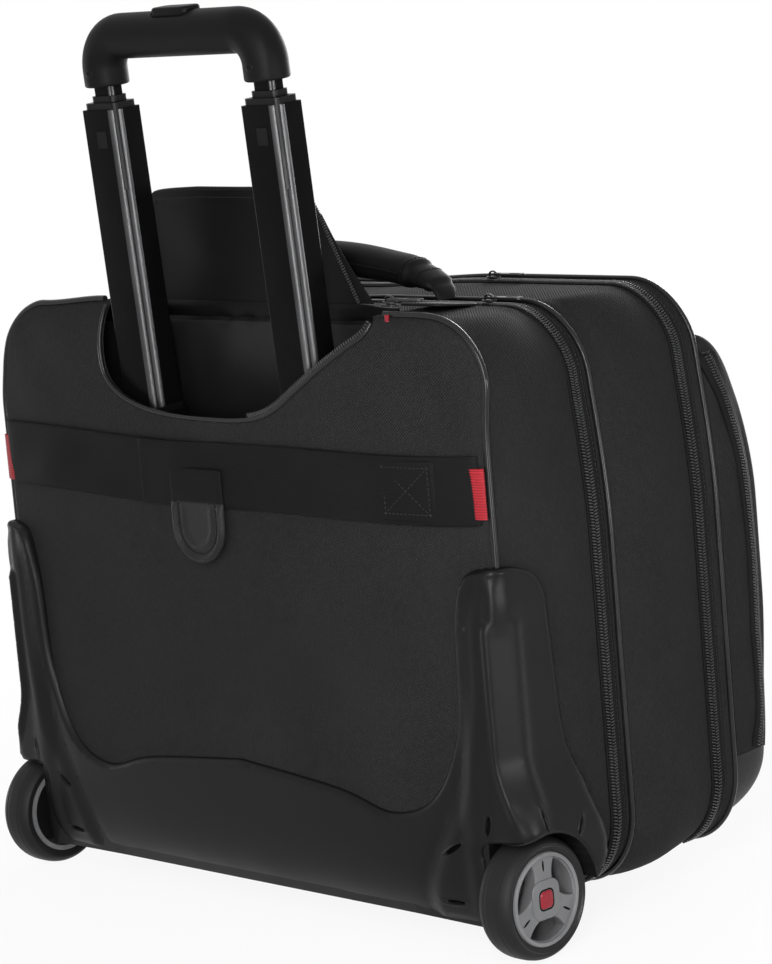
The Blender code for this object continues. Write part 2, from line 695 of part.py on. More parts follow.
TUBE_1_LOW = TUBE_0_LOW + STOW + 6 * MM + GLIDE_FLOOR + GAP
TUBE_2_LOW = TUBE_1_LOW + GLIDE_FLOOR + 8 * MM
TUBE_3_LOW = TUBE_2_LOW + GLIDE_FLOOR + 8 * MM
TUBE_2_HIGH = TUBE_1_HIGH + STEP
TUBE_3_HIGH = GRIP_LOW + GRIP_LEG - 2 * MM
tubes = {}
for name, side in (("left", -1), ("right", 1)):
    x = side * TUBE_X
    spans = (
        ("outer_tube_", TUBE_0, TUBE_0_LOW, TUBE_0_HIGH),
        ("stage1_tube_", TUBE_1, TUBE_1_LOW, TUBE_1_HIGH),
        ("stage2_tube_", TUBE_2, TUBE_2_LOW, TUBE_2_HIGH),
        ("stage3_tube_", TUBE_3, TUBE_3_LOW, TUBE_3_HIGH),
    )
    for prefix, size, low, high in spans:
        mesh = prism(tube_loops(size, x), low, high, "Z")
        tubes[prefix + name] = add_part(prefix + name, mesh, TUBE_BLACK, TROLLEY)
    collars = (
        ("outer_collar_", TUBE_0, TUBE_1, TUBE_0_HIGH - SLEEVE, TUBE_0_HIGH + STEP),
        ("stage1_collar_", TUBE_1, TUBE_2, TUBE_1_HIGH - SLEEVE, TUBE_1_HIGH + STEP),
        ("stage2_collar_", TUBE_2, TUBE_3, TUBE_2_HIGH - SLEEVE, TUBE_2_HIGH + STEP),
    )
    for prefix, outside, inside, low, high in collars:
        add_part(prefix + name, prism(sleeve_loops(outside, inside, x), low, high, "Z"), COLLAR, TROLLEY)
    glides = (
        ("stage1_glide_", TUBE_0, TUBE_1, TUBE_1_LOW),
        ("stage2_glide_", TUBE_1, TUBE_2, TUBE_2_LOW),
        ("stage3_glide_", TUBE_2, TUBE_3, TUBE_3_LOW),
    )
    for prefix, outside, inside, foot in glides:
        cup = sleeve_loops(outside, inside, x)
        floor = foot - GAP - GLIDE_FLOOR
        shoe = add_part(prefix + name, prism(cup[:1], floor, foot + GLIDE - GLIDE_FLOOR, "Z"), COLLAR, TROLLEY)
        cut(shoe, add_cutter(prefix + "room_" + name, prism(cup[1:], foot - GAP, 0.4, "Z"), TROLLEY))
    window = box((x - 5 * MM, -30 * MM, TUBE_1_HIGH - 24 * MM), (x + 5 * MM, 0.0, TUBE_1_HIGH - 13 * MM))
    cut(tubes["stage1_tube_" + name], add_cutter("catch_window_" + name, window, TROLLEY))
    pin_hole = prism([circle(2.6 * MM, 14, (0.0, TUBE_1_HIGH - 54 * MM))], *sorted((x, x + side * 30 * MM)), "X")
    cut(tubes["stage1_tube_" + name], add_cutter("pin_hole_" + name, pin_hole, TROLLEY))

# Foot bracket that holds both fixed tubes on the floor of the rear section
bracket_low = CASE_BOTTOM + WALL + GAP
bracket = add_part("tube_bracket", box(
    (-TUBE_X - TUBE_0[0] / 2 - 6 * MM, 5 * MM, bracket_low),
    (TUBE_X + TUBE_0[0] / 2 + 6 * MM, DIVIDER_Y - GAP, bracket_low + 32 * MM)), COLLAR)
for side in (-1, 1):
    socket = prism(tube_loops(TUBE_0, side * TUBE_X, GAP, False), TUBE_0_LOW - GAP, 0.2, "Z")
    cut(bracket, add_cutter("tube_socket_%d" % side, socket, TROLLEY))
web = box((-TUBE_X + 26 * MM, -1 * MM, bracket_low + 6 * MM),
          (TUBE_X - 26 * MM, DIVIDER_Y - 3 * MM, bracket_low + 40 * MM))
cut(bracket, add_cutter("bracket_web", web))


# Grip: a bent hollow bar with the release button and the rods it pushes
def grip_path(low):
    points = [(-TUBE_X, 0.0, low)]
    bends = ((-TUBE_X + GRIP_BEND, math.pi, -1), (TUBE_X - GRIP_BEND, math.pi / 2, -1))
    for cx, start, turn in bends:
        for i in range(7):
            angle = start + turn * math.pi / 2 * i / 6
            z = GRIP_LOW + GRIP_LEG + GRIP_BEND * math.sin(angle)
            points.append((cx + GRIP_BEND * math.cos(angle), 0.0, z))
    points.append((TUBE_X, 0.0, low))
    return points


grip = add_part("grip", sweep(grip_path(GRIP_LOW), GRIP_RADIUS, 5), GRIP_RUBBER, TROLLEY)
cut(grip, add_cutter("grip_bore", sweep(
    grip_path(GRIP_LOW - 10 * MM), GRIP_BORE, BORE_SIDES // 2 - 2), TROLLEY))
slot = rounded_rect(BUTTON_LENGTH + 2 * GAP, BUTTON_WIDTH + 2 * GAP, 6 * MM, steps=4)
cut(grip, add_cutter("button_slot", prism([slot], GRIP_Z, GRIP_Z + 40 * MM, "Z"), TROLLEY))
ROD_RADIUS = 2.5 * MM
button = rounded_rect(BUTTON_LENGTH, BUTTON_WIDTH, 6 * MM - GAP, steps=4)
button_top = GRIP_Z + GRIP_RADIUS + BUTTON_PROUD
release = add_part(
    "release_button", prism([button], GRIP_Z + ROD_RADIUS + GAP, button_top, "Z"), GRIP_RUBBER, TROLLEY)
soften(release, 1.5 * MM)
add_part("release_rods", sweep(grip_path(TUBE_3_LOW + 24 * MM), ROD_RADIUS, 2), STEEL, TROLLEY)

# Middle section with its back wall, laptop pad and feet
mid_loops = []
for grow, y in ((0.0, MID_START), (0.0, MID_END), (-WALL, MID_END), (-WALL, MID_START)):
    mid_loops.append([(x, y, z) for x, z in case_outline(grow, 1.0)])
mid_gusset = add_part("mid_gusset", ring_body(mid_loops), NYLON)
add_part("mid_back", slab(
    case_outline(-WALL - 1.2 * GAP, 1.0), MID_START + GAP, MID_START + 2.5 * MM), LINING)
pad_high = CASE_TOP - 100 * MM
pad_y = MID_START + 2.5 * MM + LAPTOP_SPACE
pad_outline = rounded_rect(
    2 * inner_half - GAP, pad_high - divider_low, inner_corner, (0.0, (pad_high + divider_low) / 2),
    5, 4, 10)
pad_outline = [settle(x, z, 1.0) for x, z in pad_outline]
pad = add_part("laptop_pad", slab(pad_outline, pad_y, pad_y + PAD_THICKNESS), LINING)
for name, side in (("left", -1), ("right", 1)):
    sole = []
    for z, grow in ((0.0, 0.0), (3 * MM, 2 * MM), (CASE_BOTTOM - FRONT_SAG - GAP, 7 * MM)):
        outline = rounded_rect(52 * MM + grow, 16 * MM + grow, 6 * MM, (side * FOOT_X, FOOT_Y), 3)
        sole.append([(x, y, z) for x, y in outline])
    add_part("foot_" + name, loft(sole), MOULDED)

# Front section: shallow tray, with a domed pocket above a leatherette skirt
tray_rings = []
for grow, y in ((-WALL, FRONT_END - WALL), (-WALL, FRONT_START), (0.0, FRONT_START), (0.0, FRONT_END)):
    tray_rings.append([(x, y, z) for x, z in case_outline(grow, 1.0)])
front_tray = add_part("front_tray", loft(tray_rings), NYLON)
DOME_LOW = CASE_BOTTOM + 8 * MM
DOME_HIGH = CASE_TOP - 48 * MM
DOME_FULL = CASE_TOP - 225 * MM
DOME_HALF = HALF - 2 * MM
DOME_Y = POCKET_START - 1 * MM
DOME_THICK = 2.5 * MM


def dome_depth(x, z):
    if z > DOME_FULL:
        tall = (1 - ((z - DOME_FULL) / (DOME_HIGH - DOME_FULL)) ** 4) ** 0.75
    else:
        tall = (1 - ((DOME_FULL - z) / (DOME_FULL - DOME_LOW)) ** 6) ** 0.5
    return (POCKET_END - DOME_Y) * tall * (1 - abs(x / DOME_HALF) ** 60) ** 0.45


def dome_shell():
    bm = bmesh.new()
    sheets = []
    for inset in (0.0, DOME_THICK):
        deep = 1 - inset / (POCKET_END - DOME_Y)
        wide = 1 - inset / DOME_HALF
        rows = []
        for i in range(-6, 7):
            reach = DOME_HIGH - DOME_FULL if i > 0 else DOME_FULL - DOME_LOW
            share = math.sin(math.pi / 2 * i / 6)
            z = DOME_FULL + share * reach
            row = []
            for k in range(-10, 11):
                x = DOME_HALF * math.copysign(1 - (1 - abs(k) / 10) ** 3.4, k)
                row.append(bm.verts.new((
                    settle(x * wide, z, 1.0)[0], DOME_Y + dome_depth(x, z) * deep, z - share * inset)))
            rows.append(row)
        sheets.append(rows)
        for low, high in zip(rows, rows[1:]):
            for i in range(len(low) - 1):
                face = (low[i], low[i + 1], high[i + 1], high[i])
                bm.faces.new(face if inset else face[::-1])
    edges = []
    for rows in sheets:
        edges.append(
            rows[0][:-1] + [row[-1] for row in rows[:-1]] + rows[-1][:0:-1] + [row[0] for row in rows[:0:-1]])
    for i in range(len(edges[0])):
        bm.faces.new((edges[0][i - 1], edges[0][i], edges[1][i], edges[1][i - 1]))
    bmesh.ops.recalc_face_normals(bm, faces=bm.faces)
    mesh = bpy.data.meshes.new("dome")
    bm.to_mesh(mesh)
    bm.free()
    return mesh


for name, mat, low, high in (
        ("pocket_flap", NYLON, SKIRT_TOP + GAP, CASE_TOP),
        ("front_skirt", LEATHER, 0.0, SKIRT_TOP)):
    dome = add_part(name, dome_shell(), mat)
    room = box((-HALF, POCKET_START, low), (HALF, POCKET_END + 20 * MM, high))
    combine(dome, add_cutter(name + "_keep", room), "INTERSECT")


# Strap across the rear panel, in two lapped bands, with a hanging tab
def band(x_low, x_high, count, lift):
    rings = []
    for i in range(count + 1):
        x = x_low + (x_high - x_low) * i / count
        low = panel_back(x, STRAP_LOW) - lift(x)
        high = panel_back(x, STRAP_HIGH) - lift(x)
        rings.append([
            (x, low, STRAP_LOW), (x, high, STRAP_HIGH),
            (x, high - STRAP_THICK, STRAP_HIGH), (x, low - STRAP_THICK, STRAP_LOW)])
    return loft(rings)


LAP = 22 * MM
add_part("strap_left", band(-HALF + 4 * MM, STRAP_LAP + LAP, 12, lambda x: 2 * GAP), WEBBING)


def right_lift(x):
    over = 1 - blend(x, STRAP_LAP + LAP + 14 * MM, STRAP_LAP + LAP + 30 * MM)
    return 2 * GAP + (STRAP_THICK + GAP) * over


add_part("strap_right", band(STRAP_LAP, HALF - 4 * MM, 20, right_lift), WEBBING)
tab_y = panel_back(TAB_X, STRAP_LOW) - 2 * GAP - 2 * STRAP_THICK - 2 * GAP
tab_radius = TAB_WIDTH / 2
tab_outline = [(TAB_X + tab_radius, TAB_HIGH), (TAB_X - tab_radius, TAB_HIGH)]
for i in range(13):
    angle = math.pi + math.pi * i / 12
    tab_outline.append((
        TAB_X + tab_radius * math.cos(angle), TAB_LOW + tab_radius * (1 + math.sin(angle))))
add_part("strap_tab", prism([tab_outline], tab_y - TAB_THICK, tab_y, "Y"), LEATHER)

# Unzipped flap standing behind the tubes
flap_axis = make_empty(
    "flap_axis", (0.0, OPENING_REACH + 2 * MM, top_at(OPENING_REACH + 2 * MM) + 1.5 * GAP), CASE, -FLAP_LEAN)
flap_side = smooth_path([
    (OPENING_RIGHT - 38 * MM, 0.0), (OPENING_RIGHT - 68 * MM, FLAP_HEIGHT * 0.55),
    (OPENING_RIGHT - 88 * MM, FLAP_HEIGHT * 0.88), (OPENING_RIGHT - 104 * MM, FLAP_HEIGHT * 0.99),
], 4)
flap_left = smooth_path([
    (OPENING_LEFT + 47 * MM, FLAP_HEIGHT * 0.955), (OPENING_LEFT + 12 * MM, FLAP_HEIGHT * 0.88),
    (OPENING_LEFT + 3 * MM, FLAP_HEIGHT * 0.8), (OPENING_LEFT + 2 * MM, 0.0),
], 4)
add_part("handle_flap", prism(
    [flap_side + flap_left], -FLAP_THICK / 2, FLAP_THICK / 2, "Y"), LINING, flap_axis)

# Carry handle on the top, with its anchor patches
anchor_tilt = -math.atan2(FRONT_DROP, REAR_DEPTH)
anchor_high = 1.5 * MM
handle_axis_z = top_at(HANDLE_Y) + (2 * GAP + anchor_high + HANDLE_END) / math.cos(anchor_tilt)
handle_axis = make_empty("carry_axis", (0.0, HANDLE_Y, handle_axis_z), CASE)
end_x = HANDLE_SPAN / 2
side_path = []
for drop in (0.96, 0.72, 0.38, 0.0):
    side_path.append((end_x, -HANDLE_END * drop, HANDLE_END * math.sqrt(1 - drop * drop)))
side_path += [
    (end_x - 3 * MM, 5 * MM, HANDLE_END), (end_x - 12 * MM, HANDLE_RISE * 0.6, HANDLE_END + 0.8 * MM),
    (end_x - 22 * MM, HANDLE_RISE * 0.74, HANDLE_END + 1 * MM),
    (end_x - 26 * MM, HANDLE_RISE * 0.78, HANDLE_RADIUS - 1 * MM),
    (end_x - 34 * MM, HANDLE_RISE * 0.85, HANDLE_RADIUS), (end_x - 76 * MM, HANDLE_RISE, HANDLE_RADIUS),
]
whole = side_path + [(0.0, HANDLE_RISE * 1.06, HANDLE_RADIUS)]
whole += [(-x, z, r) for x, z, r in reversed(side_path)]
add_part("carry_handle", sweep(
    [(x, 0.0, z) for x, z, r in whole], HANDLE_RADIUS, 3, [r / HANDLE_RADIUS for x, z, r in whole]),
    NYLON, handle_axis)
for name, side in (("left", -1), ("right", 1)):
    patch = rounded_rect(34 * MM, 36 * MM, 5 * MM, (side * (end_x - 4 * MM), 0.0), 3)
    seat = make_empty("anchor_seat_" + name, (0.0, HANDLE_Y, top_at(HANDLE_Y)), CASE, anchor_tilt)
    add_part("handle_anchor_" + name, prism([patch], GAP, GAP + anchor_high, "Z"), LEATHER, seat)

# Zip sliders with swinging pulls: name, X, Y, Z of the seat and the pull's own length
SLIDER = (9 * MM, 7 * MM, 3 * MM)
PULL = (27 * MM, 6 * MM, 1.5 * MM)
sliders = (
    ("opening_zip", OPENING_RIGHT + 9 * MM, 7 * MM, top_at(3 * MM) + GAP, 0),
    ("rear_zip", 145 * MM, (REAR_DEPTH + MID_START) / 2, top_at(REAR_DEPTH) + 2 * GAP, 0),
    ("front_zip", 60 * MM, (MID_END + FRONT_START) / 2, top_at(REAR_DEPTH) + GAP, 0),
    ("pocket_zip", -120 * MM, FRONT_END + GAP, DOME_HIGH + 6 * MM, 1),
)
for name, x, y, z, upright in sliders:
    seat = make_empty(name + "_seat", (x, y, z), CASE, -math.pi / 2 if upright else 0.0)
    low = (-SLIDER[0] / 2, -SLIDER[1] / 2, 0.0)
    high = (SLIDER[0] / 2, SLIDER[1] / 2, SLIDER[2])
    slider = add_part(name + "_slider", box(low, high), DARK_METAL, seat)
    soften(slider, 0.8 * MM, 1)
    axis = make_empty(name + "_axis", (0.0, 0.0, SLIDER[2] + 1.2 * MM), seat)
    loops = [rounded_rect(PULL[0], PULL[1], 1.4 * MM, (PULL[0] / 2 - PULL[2] / 2, 0.0), 3),
             rounded_rect(12 * MM, 2.6 * MM, 1.0 * MM, (PULL[0] - 10 * MM, 0.0), 2)]
    add_part(name + "_pull", prism(loops, -PULL[2] / 2, PULL[2] / 2, "Z"), DARK_METAL, axis)
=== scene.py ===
"""Looks of the rolling laptop case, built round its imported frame."""
import math

import bmesh
import bpy
import numpy as np
from mathutils import Matrix, Vector
from mathutils.geometry import delaunay_2d_cdt, tessellate_polygon


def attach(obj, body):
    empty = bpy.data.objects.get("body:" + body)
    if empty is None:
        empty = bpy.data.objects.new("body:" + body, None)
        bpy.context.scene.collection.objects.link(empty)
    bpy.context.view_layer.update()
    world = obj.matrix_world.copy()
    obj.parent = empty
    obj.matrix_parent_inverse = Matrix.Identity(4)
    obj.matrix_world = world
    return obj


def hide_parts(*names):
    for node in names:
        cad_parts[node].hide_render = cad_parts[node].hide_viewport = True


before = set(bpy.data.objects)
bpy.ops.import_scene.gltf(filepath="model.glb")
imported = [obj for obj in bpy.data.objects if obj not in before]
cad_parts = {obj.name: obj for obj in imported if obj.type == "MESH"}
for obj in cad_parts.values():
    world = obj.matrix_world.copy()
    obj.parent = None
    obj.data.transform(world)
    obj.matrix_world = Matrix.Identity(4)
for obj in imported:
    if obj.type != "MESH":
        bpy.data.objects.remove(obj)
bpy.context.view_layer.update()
SCENE = bpy.context.scene
SCENE.view_settings.view_transform = "Standard"

# Sizes in millimetres, in the case's own frame, where Y runs forward from the rear plane
REAR_Y = -107.85
HALF = 215.0
TOP = 385.0
BOTTOM = 21.5
CORNER = 46.0
MID_Z = (TOP + BOTTOM) / 2
REAR_END = 86.5
MID_START = 86.8
MID_END = 182.8
TRAY_START = 183.1
TRAY_END = 201.1
POCKET_Y = 200.4
POCKET_LOW, POCKET_HIGH = 29.5, 337.0
REAR_SEAM = (REAR_END + MID_START) / 2
FRONT_SEAM = (MID_END + TRAY_START) / 2
HINGE_Z = 18.0
STRAP_LOW, STRAP_HIGH = 257.0, 298.0
WHEEL_X, WHEEL_Y, WHEEL_Z = 217.2, 5.3, 37.0
TUBE_X = 72.0
LEAN = math.radians(3.43)
SIDES = (("left", -1), ("right", 1))
BACKWARD = (0, -1, 0)
FORWARD = np.array([0.0, 1.0, 0.0])

CASE = Matrix.Translation((0, REAR_Y / 1000, 0)) @ Matrix.Scale(0.001, 4)
TROLLEY = CASE @ Matrix.Translation((0, 21, 0)) @ Matrix.Rotation(LEAN, 4, "X")
FLAP = CASE @ Matrix.Translation((0, 30, 381.635)) @ Matrix.Rotation(math.radians(-12), 4, "X")
CARRY = CASE @ Matrix.Translation((0, 56, 385.237))
ANCHOR_Z = TOP - 11.0 * 56 / REAR_END
ANCHOR = CASE @ Matrix.Translation((0, 56, ANCHOR_Z)) @ Matrix.Rotation(-math.atan2(11.0, 86.5), 4, "X")


# Materials

def add(tree, kind, inputs=None, **props):
    made = tree.nodes.new(kind)
    for key, value in props.items():
        setattr(made, key, value)
    for key, value in (inputs or {}).items():
        if isinstance(value, bpy.types.NodeSocket):
            tree.links.new(value, made.inputs[key])
        else:
            made.inputs[key].default_value = value
    return made


def start(name, colour, rough, spec=0.3, metal=0.0):
    """New material, with its tree, its shader and the place on the object."""
    mat = bpy.data.materials.new(name)
    mat.use_nodes = True
    tree = mat.node_tree
    shader = tree.nodes["Principled BSDF"]
    values = {"Base Color": (*colour, 1.0), "Roughness": rough, "Specular IOR Level": spec, "Metallic": metal}
    for key, value in values.items():
        shader.inputs[key].default_value = value
    return mat, tree, shader, add(tree, "ShaderNodeTexCoord").outputs["Object"]


def maths(tree, operation, a, b=0.0):
    return add(tree, "ShaderNodeMath", {0: a, 1: b}, operation=operation).outputs[0]


def blend(tree, a, share, b, rest):
    return maths(tree, "ADD", maths(tree, "MULTIPLY", a, share), maths(tree, "MULTIPLY", b, rest))


def remap(tree, value, low, high, to_low, to_high):
    ends = {"From Min": low, "From Max": high, "To Min": to_low, "To Max": to_high}
    return add(tree, "ShaderNodeMapRange", {"Value": value, **ends}).outputs["Result"]


def tint(tree, factor, dark, light):
    """Colour between two shades."""
    shades = {0: factor, 6: (*dark, 1.0), 7: (*light, 1.0)}
    return add(tree, "ShaderNodeMix", shades, data_type="RGBA").outputs[2]


def paint(tree, shader, tone, colour, dark, light):
    """Base colour between two shares of a colour."""
    shades = [tuple(min(c * share, 1.0) for c in colour) for share in (dark, light)]
    tree.links.new(tint(tree, tone, *shades), shader.inputs["Base Color"])


def gloss(tree, shader, *range_of_value):
    tree.links.new(remap(tree, *range_of_value), shader.inputs["Roughness"])


def noise(tree, vector, scale, detail=3.0):
    return add(tree, "ShaderNodeTexNoise", {
        "Vector": vector, "Scale": scale, "Detail": detail, "Roughness": 0.55}).outputs[0]


def stripes(tree, vector, pitch, direction, turn=(1, 1, 1)):
    """Even bands of a pitch in metres, along X, Y, Z or the diagonal."""
    mapping = add(tree, "ShaderNodeMapping", {"Vector": vector, "Scale": turn})
    share = math.sqrt(2) if direction == "DIAGONAL" else 1.0
    return add(tree, "ShaderNodeTexWave", {
        "Vector": mapping.outputs[0], "Scale": math.pi / (10 * pitch) * share},
        bands_direction=direction).outputs["Fac"]


def bump(tree, shader, height, strength, depth):
    node = add(tree, "ShaderNodeBump", {"Strength": strength, "Distance": depth, "Height": height})
    tree.links.new(node.outputs[0], shader.inputs["Normal"])


def cloth(name, colour, thread, contrast, rough, depth, spec=0.2):
    """Woven cloth: two crossing sets of threads, with slow changes of tone."""
    mat, tree, shader, where = start(name, colour, rough, spec)
    warp = stripes(tree, where, thread, "DIAGONAL")
    weft = stripes(tree, where, thread, "DIAGONAL", (1, 1, -1))
    threads = maths(tree, "MULTIPLY", maths(tree, "ADD", maths(tree, "MULTIPLY", warp, 1.3), weft), 0.435)
    slow = noise(tree, where, 14.0)
    mixed = blend(tree, threads, 0.6, noise(tree, where, 420.0, 1.0), 0.4)
    tone = maths(tree, "ADD", mixed, remap(tree, slow, 0.3, 0.7, -0.08, 0.08))
    paint(tree, shader, tone, colour, 1 - contrast, 1 + contrast)
    gloss(tree, shader, slow, 0.3, 0.7, rough - 0.05, rough + 0.06)
    bump(tree, shader, mixed, 0.55, depth)
    return mat


def ribbed(name, colour, pitch, direction, rough, depth, spec=0.25, contrast=0.3):
    """Webbing or tape with fine ribs."""
    mat, tree, shader, where = start(name, colour, rough, spec)
    ribs = stripes(tree, where, pitch, direction)
    height = blend(tree, ribs, 0.7, noise(tree, where, 900.0, 2.0), 0.3)
    tone = maths(tree, "ADD", height, remap(tree, noise(tree, where, 18.0), 0.3, 0.7, -0.2, 0.2))
    paint(tree, shader, tone, colour, 1 - contrast, 1 + contrast)
    bump(tree, shader, height, 0.5, depth)
    return mat


def grained(name, colour, scale, rough, depth, spec=0.3):
    """Pressed leather grain."""
    mat, tree, shader, where = start(name, colour, rough, spec)
    cells = add(tree, "ShaderNodeTexVoronoi", {"Vector": where, "Scale": scale}, feature="DISTANCE_TO_EDGE")
    skin = remap(tree, cells.outputs[0], 0.0, 0.25, 0.0, 1.0)
    height = blend(tree, skin, 0.75, noise(tree, where, scale * 2.2, 2.0), 0.25)
    slow = remap(tree, noise(tree, where, 16.0), 0.3, 0.7, 0.05, 0.4)
    tone = maths(tree, "ADD", maths(tree, "MULTIPLY", height, 0.6), slow)
    paint(tree, shader, tone, colour, 0.7, 1.25)
    gloss(tree, shader, height, 0.0, 1.0, rough + 0.12, rough - 0.06)
    bump(tree, shader, height, 0.5, depth)
    return mat


def moulded(name, colour, rough, grain=1600.0, depth=0.00006, spec=0.35, metal=0.0, worn=0.5):
    """Moulded plastic or painted metal: fine texture, slow gloss changes and paler worn edges."""
    mat, tree, shader, where = start(name, colour, rough, spec, metal)
    slow = noise(tree, where, 22.0, 4.0)
    edge = remap(tree, add(tree, "ShaderNodeNewGeometry").outputs["Pointiness"], 0.51, 0.57, 0.0, 1.0)
    wear = maths(tree, "MULTIPLY", edge, remap(tree, slow, 0.35, 0.65, 0.2, 1.0))
    tone = maths(tree, "ADD", remap(tree, slow, 0.3, 0.7, 0.25, 0.55), maths(tree, "MULTIPLY", wear, worn))
    paint(tree, shader, tone, colour, 0.8, 1.5)
    gloss(tree, shader, slow, 0.3, 0.7, rough - 0.04, rough + 0.07)
    bump(tree, shader, noise(tree, where, grain, 2.0), 0.35, depth)
    return mat


NYLON = cloth("ballistic_nylon", (0.0145, 0.0145, 0.0149), 0.0016, 0.8, 0.72, 0.0006, 0.05)
# The same nylon as the rear panel, a little darker and less glossy: painted shade for the gussets, the top and
# the pocket
NYLON_PAINTED_SHADE = cloth("nylon_painted_shade", (0.0138, 0.0138, 0.0142), 0.0016, 0.8, 0.70, 0.0006, 0.04)
SLEEVE = cloth("handle_cover", (0.0022, 0.0022, 0.0024), 0.0009, 0.35, 0.5, 0.0002, 0.08)
LINING = cloth("lining_satin", (0.0030, 0.0030, 0.0032), 0.0005, 0.25, 0.36, 0.00008, 0.08)
# A lighter copy of the lining: painted light for the lit lower puff of the mouth lining and for the divider
LINING_PAINTED_LIGHT = cloth("lining_painted_light", (0.0080, 0.0080, 0.0085), 0.0005, 0.25, 0.40, 0.00008, 0.16)
PADDING = cloth("padded_lining", (0.016, 0.016, 0.018), 0.0009, 0.3, 0.6, 0.0002, 0.12)
WEBBING = ribbed("strap_webbing", (0.0076, 0.0076, 0.0080), 0.0011, "Z", 0.6, 0.00022, 0.035)
TAPE = ribbed("zip_tape", (0.0040, 0.0040, 0.0043), 0.0008, "DIAGONAL", 0.6, 0.0002, 0.08)
RIBBON = ribbed("red_ribbon", (0.23, 0.012, 0.018), 0.0016, "Z", 0.55, 0.0004, 0.15, 0.35)
LEATHER = grained("leatherette", (0.0085, 0.0085, 0.0091), 900.0, 0.38, 0.00018, 0.16)
MOULD = moulded("satin_moulding", (0.0036, 0.0036, 0.0038), 0.38, 1500.0, 0.00005, 0.13)
TUBE = moulded("black_anodised", (0.0022, 0.0022, 0.0023), 0.25, 500.0, 0.000008, 0.03, 0.0, 0.2)
TUBE_EDGE = moulded("polished_edge", (0.044, 0.044, 0.0452), 0.34, 500.0, 0.000008, 0.3, 1.0, 0.2)
COLLAR = moulded("collar_plastic", (0.0035, 0.0035, 0.0038), 0.28, 1500.0, 0.00005, 0.10)
GRIP = moulded("grip_plastic", (0.0042, 0.0042, 0.0045), 0.44, 1300.0, 0.00008, 0.06)
TYRE = moulded("tyre_rubber", (0.0075, 0.0075, 0.0078), 0.5, 900.0, 0.0001, 0.14)
HUB = moulded("hub_plastic", (0.096, 0.096, 0.099), 0.34, 1400.0, 0.00005, 0.3)
CAP = moulded("cap_red", (0.16, 0.0045, 0.011), 0.25, 1500.0, 0.00003, 0.3)
METAL = moulded("dark_zinc", (0.022, 0.022, 0.023), 0.3, 900.0, 0.00003, 0.4, 0.6)
STEEL = moulded("plain_steel", (0.5, 0.5, 0.51), 0.32, 700.0, 0.00002, 0.5, 1.0)
COIL = moulded("zip_coil", (0.022, 0.022, 0.023), 0.28, 2500.0, 0.00003, 0.36)
PIPING = moulded("piping", (0.0065, 0.0065, 0.0068), 0.22, 1800.0, 0.00004, 0.22)
THREAD = moulded("sewing_thread", (0.0075, 0.0075, 0.0079), 0.5, 3000.0, 0.00005, 0.2)
# Flat black standing for the shade inside slits, holes, gaps and grooves: painted shade
BLACK_SHADE = moulded("black_painted_shade", (0.0012, 0.0012, 0.0012), 0.6, 1500.0, 0.00003, 0.04)


# Numbers and lines

def smooth(value, low, high):
    """0 below, 1 above, with a soft step between."""
    t = np.clip((np.asarray(value, float) - low) / (high - low), 0.0, 1.0)
    return t * t * (3 - 2 * t)


def fade(value, low, high):
    return 1 - smooth(value, low, high)


def bell(value, middle, width):
    return np.exp(-((value - middle) / width) ** 2)


def edge_drop(depth, reach):
    """1 at an edge, falling as a quarter circle to 0 at a distance from it."""
    return 1 - np.sqrt(np.clip(1 - (1 - np.clip(depth / reach, 0, 1)) ** 2, 0, 1))


def half_wave(value, low, length):
    return np.sin(math.pi * np.clip((value - low) / length, 0, 1))


def spots(*columns):
    """Points from their coordinates, any of which may be one number."""
    return np.stack(np.broadcast_arrays(*columns), axis=-1).astype(float)


def unit(v):
    v = np.asarray(v, float)
    return v / np.maximum(np.linalg.norm(v, axis=-1, keepdims=True), 1e-12)


def frames(path, up):
    """Direction of travel, sideways and upward unit vectors along a path."""
    ahead = unit(np.gradient(path, axis=0))
    side = unit(np.cross(ahead, np.broadcast_to(np.asarray(up, float), path.shape)))
    return ahead, side, np.cross(side, ahead)


def left_of(path):
    """Unit vectors to the left of a flat path."""
    ahead = unit(np.gradient(path, axis=0))
    return np.stack([-ahead[:, 1], ahead[:, 0]], axis=1)


def run_along(path):
    return np.concatenate([[0.0], np.cumsum(np.linalg.norm(np.diff(path, axis=0), axis=1))])


def smooth_path(points, steps):
    """Curve through the points, rounded between them."""
    pts = np.asarray(points, float)
    padded = np.vstack([pts[:1], pts, pts[-1:]])
    t = (np.arange(steps) / steps)[:, None]
    parts = []
    for p0, p1, p2, p3 in zip(padded, padded[1:], padded[2:], padded[3:]):
        parts.append(0.5 * (
            2 * p1 + (p2 - p0) * t + (2 * p0 - 5 * p1 + 4 * p2 - p3) * t * t
            + (3 * p1 - p0 - 3 * p2 + p3) * t ** 3))
    return np.vstack(parts + [pts[-1:]])


def resample(path, step):
    """Points at an even step along a line."""
    path = np.asarray(path, float)
    path = path[np.concatenate([[True], np.linalg.norm(np.diff(path, axis=0), axis=1) > 1e-6])]
    run = run_along(path)
    at = np.linspace(0.0, run[-1], max(int(round(run[-1] / step)), 1) + 1)
    return np.stack([np.interp(at, run, path[:, k]) for k in range(path.shape[1])], axis=1)


def arc(radius, turns, centre=(0.0, 0.0)):
    return spots(centre[0] + radius * np.cos(turns), centre[1] + radius * np.sin(turns))


def full_turn(count):
    return 2 * math.pi * np.arange(count) / count


def rounded_rect(width, height, radius, centre=(0.0, 0.0), steps=6):
    corners = []
    for k, (su, sv) in enumerate(((1, 1), (-1, 1), (-1, -1), (1, -1))):
        middle = (centre[0] + su * (width / 2 - radius), centre[1] + sv * (height / 2 - radius))
        corners.append(arc(radius, math.pi / 2 * (k + np.arange(steps + 1) / steps), middle))
    return np.vstack(corners)


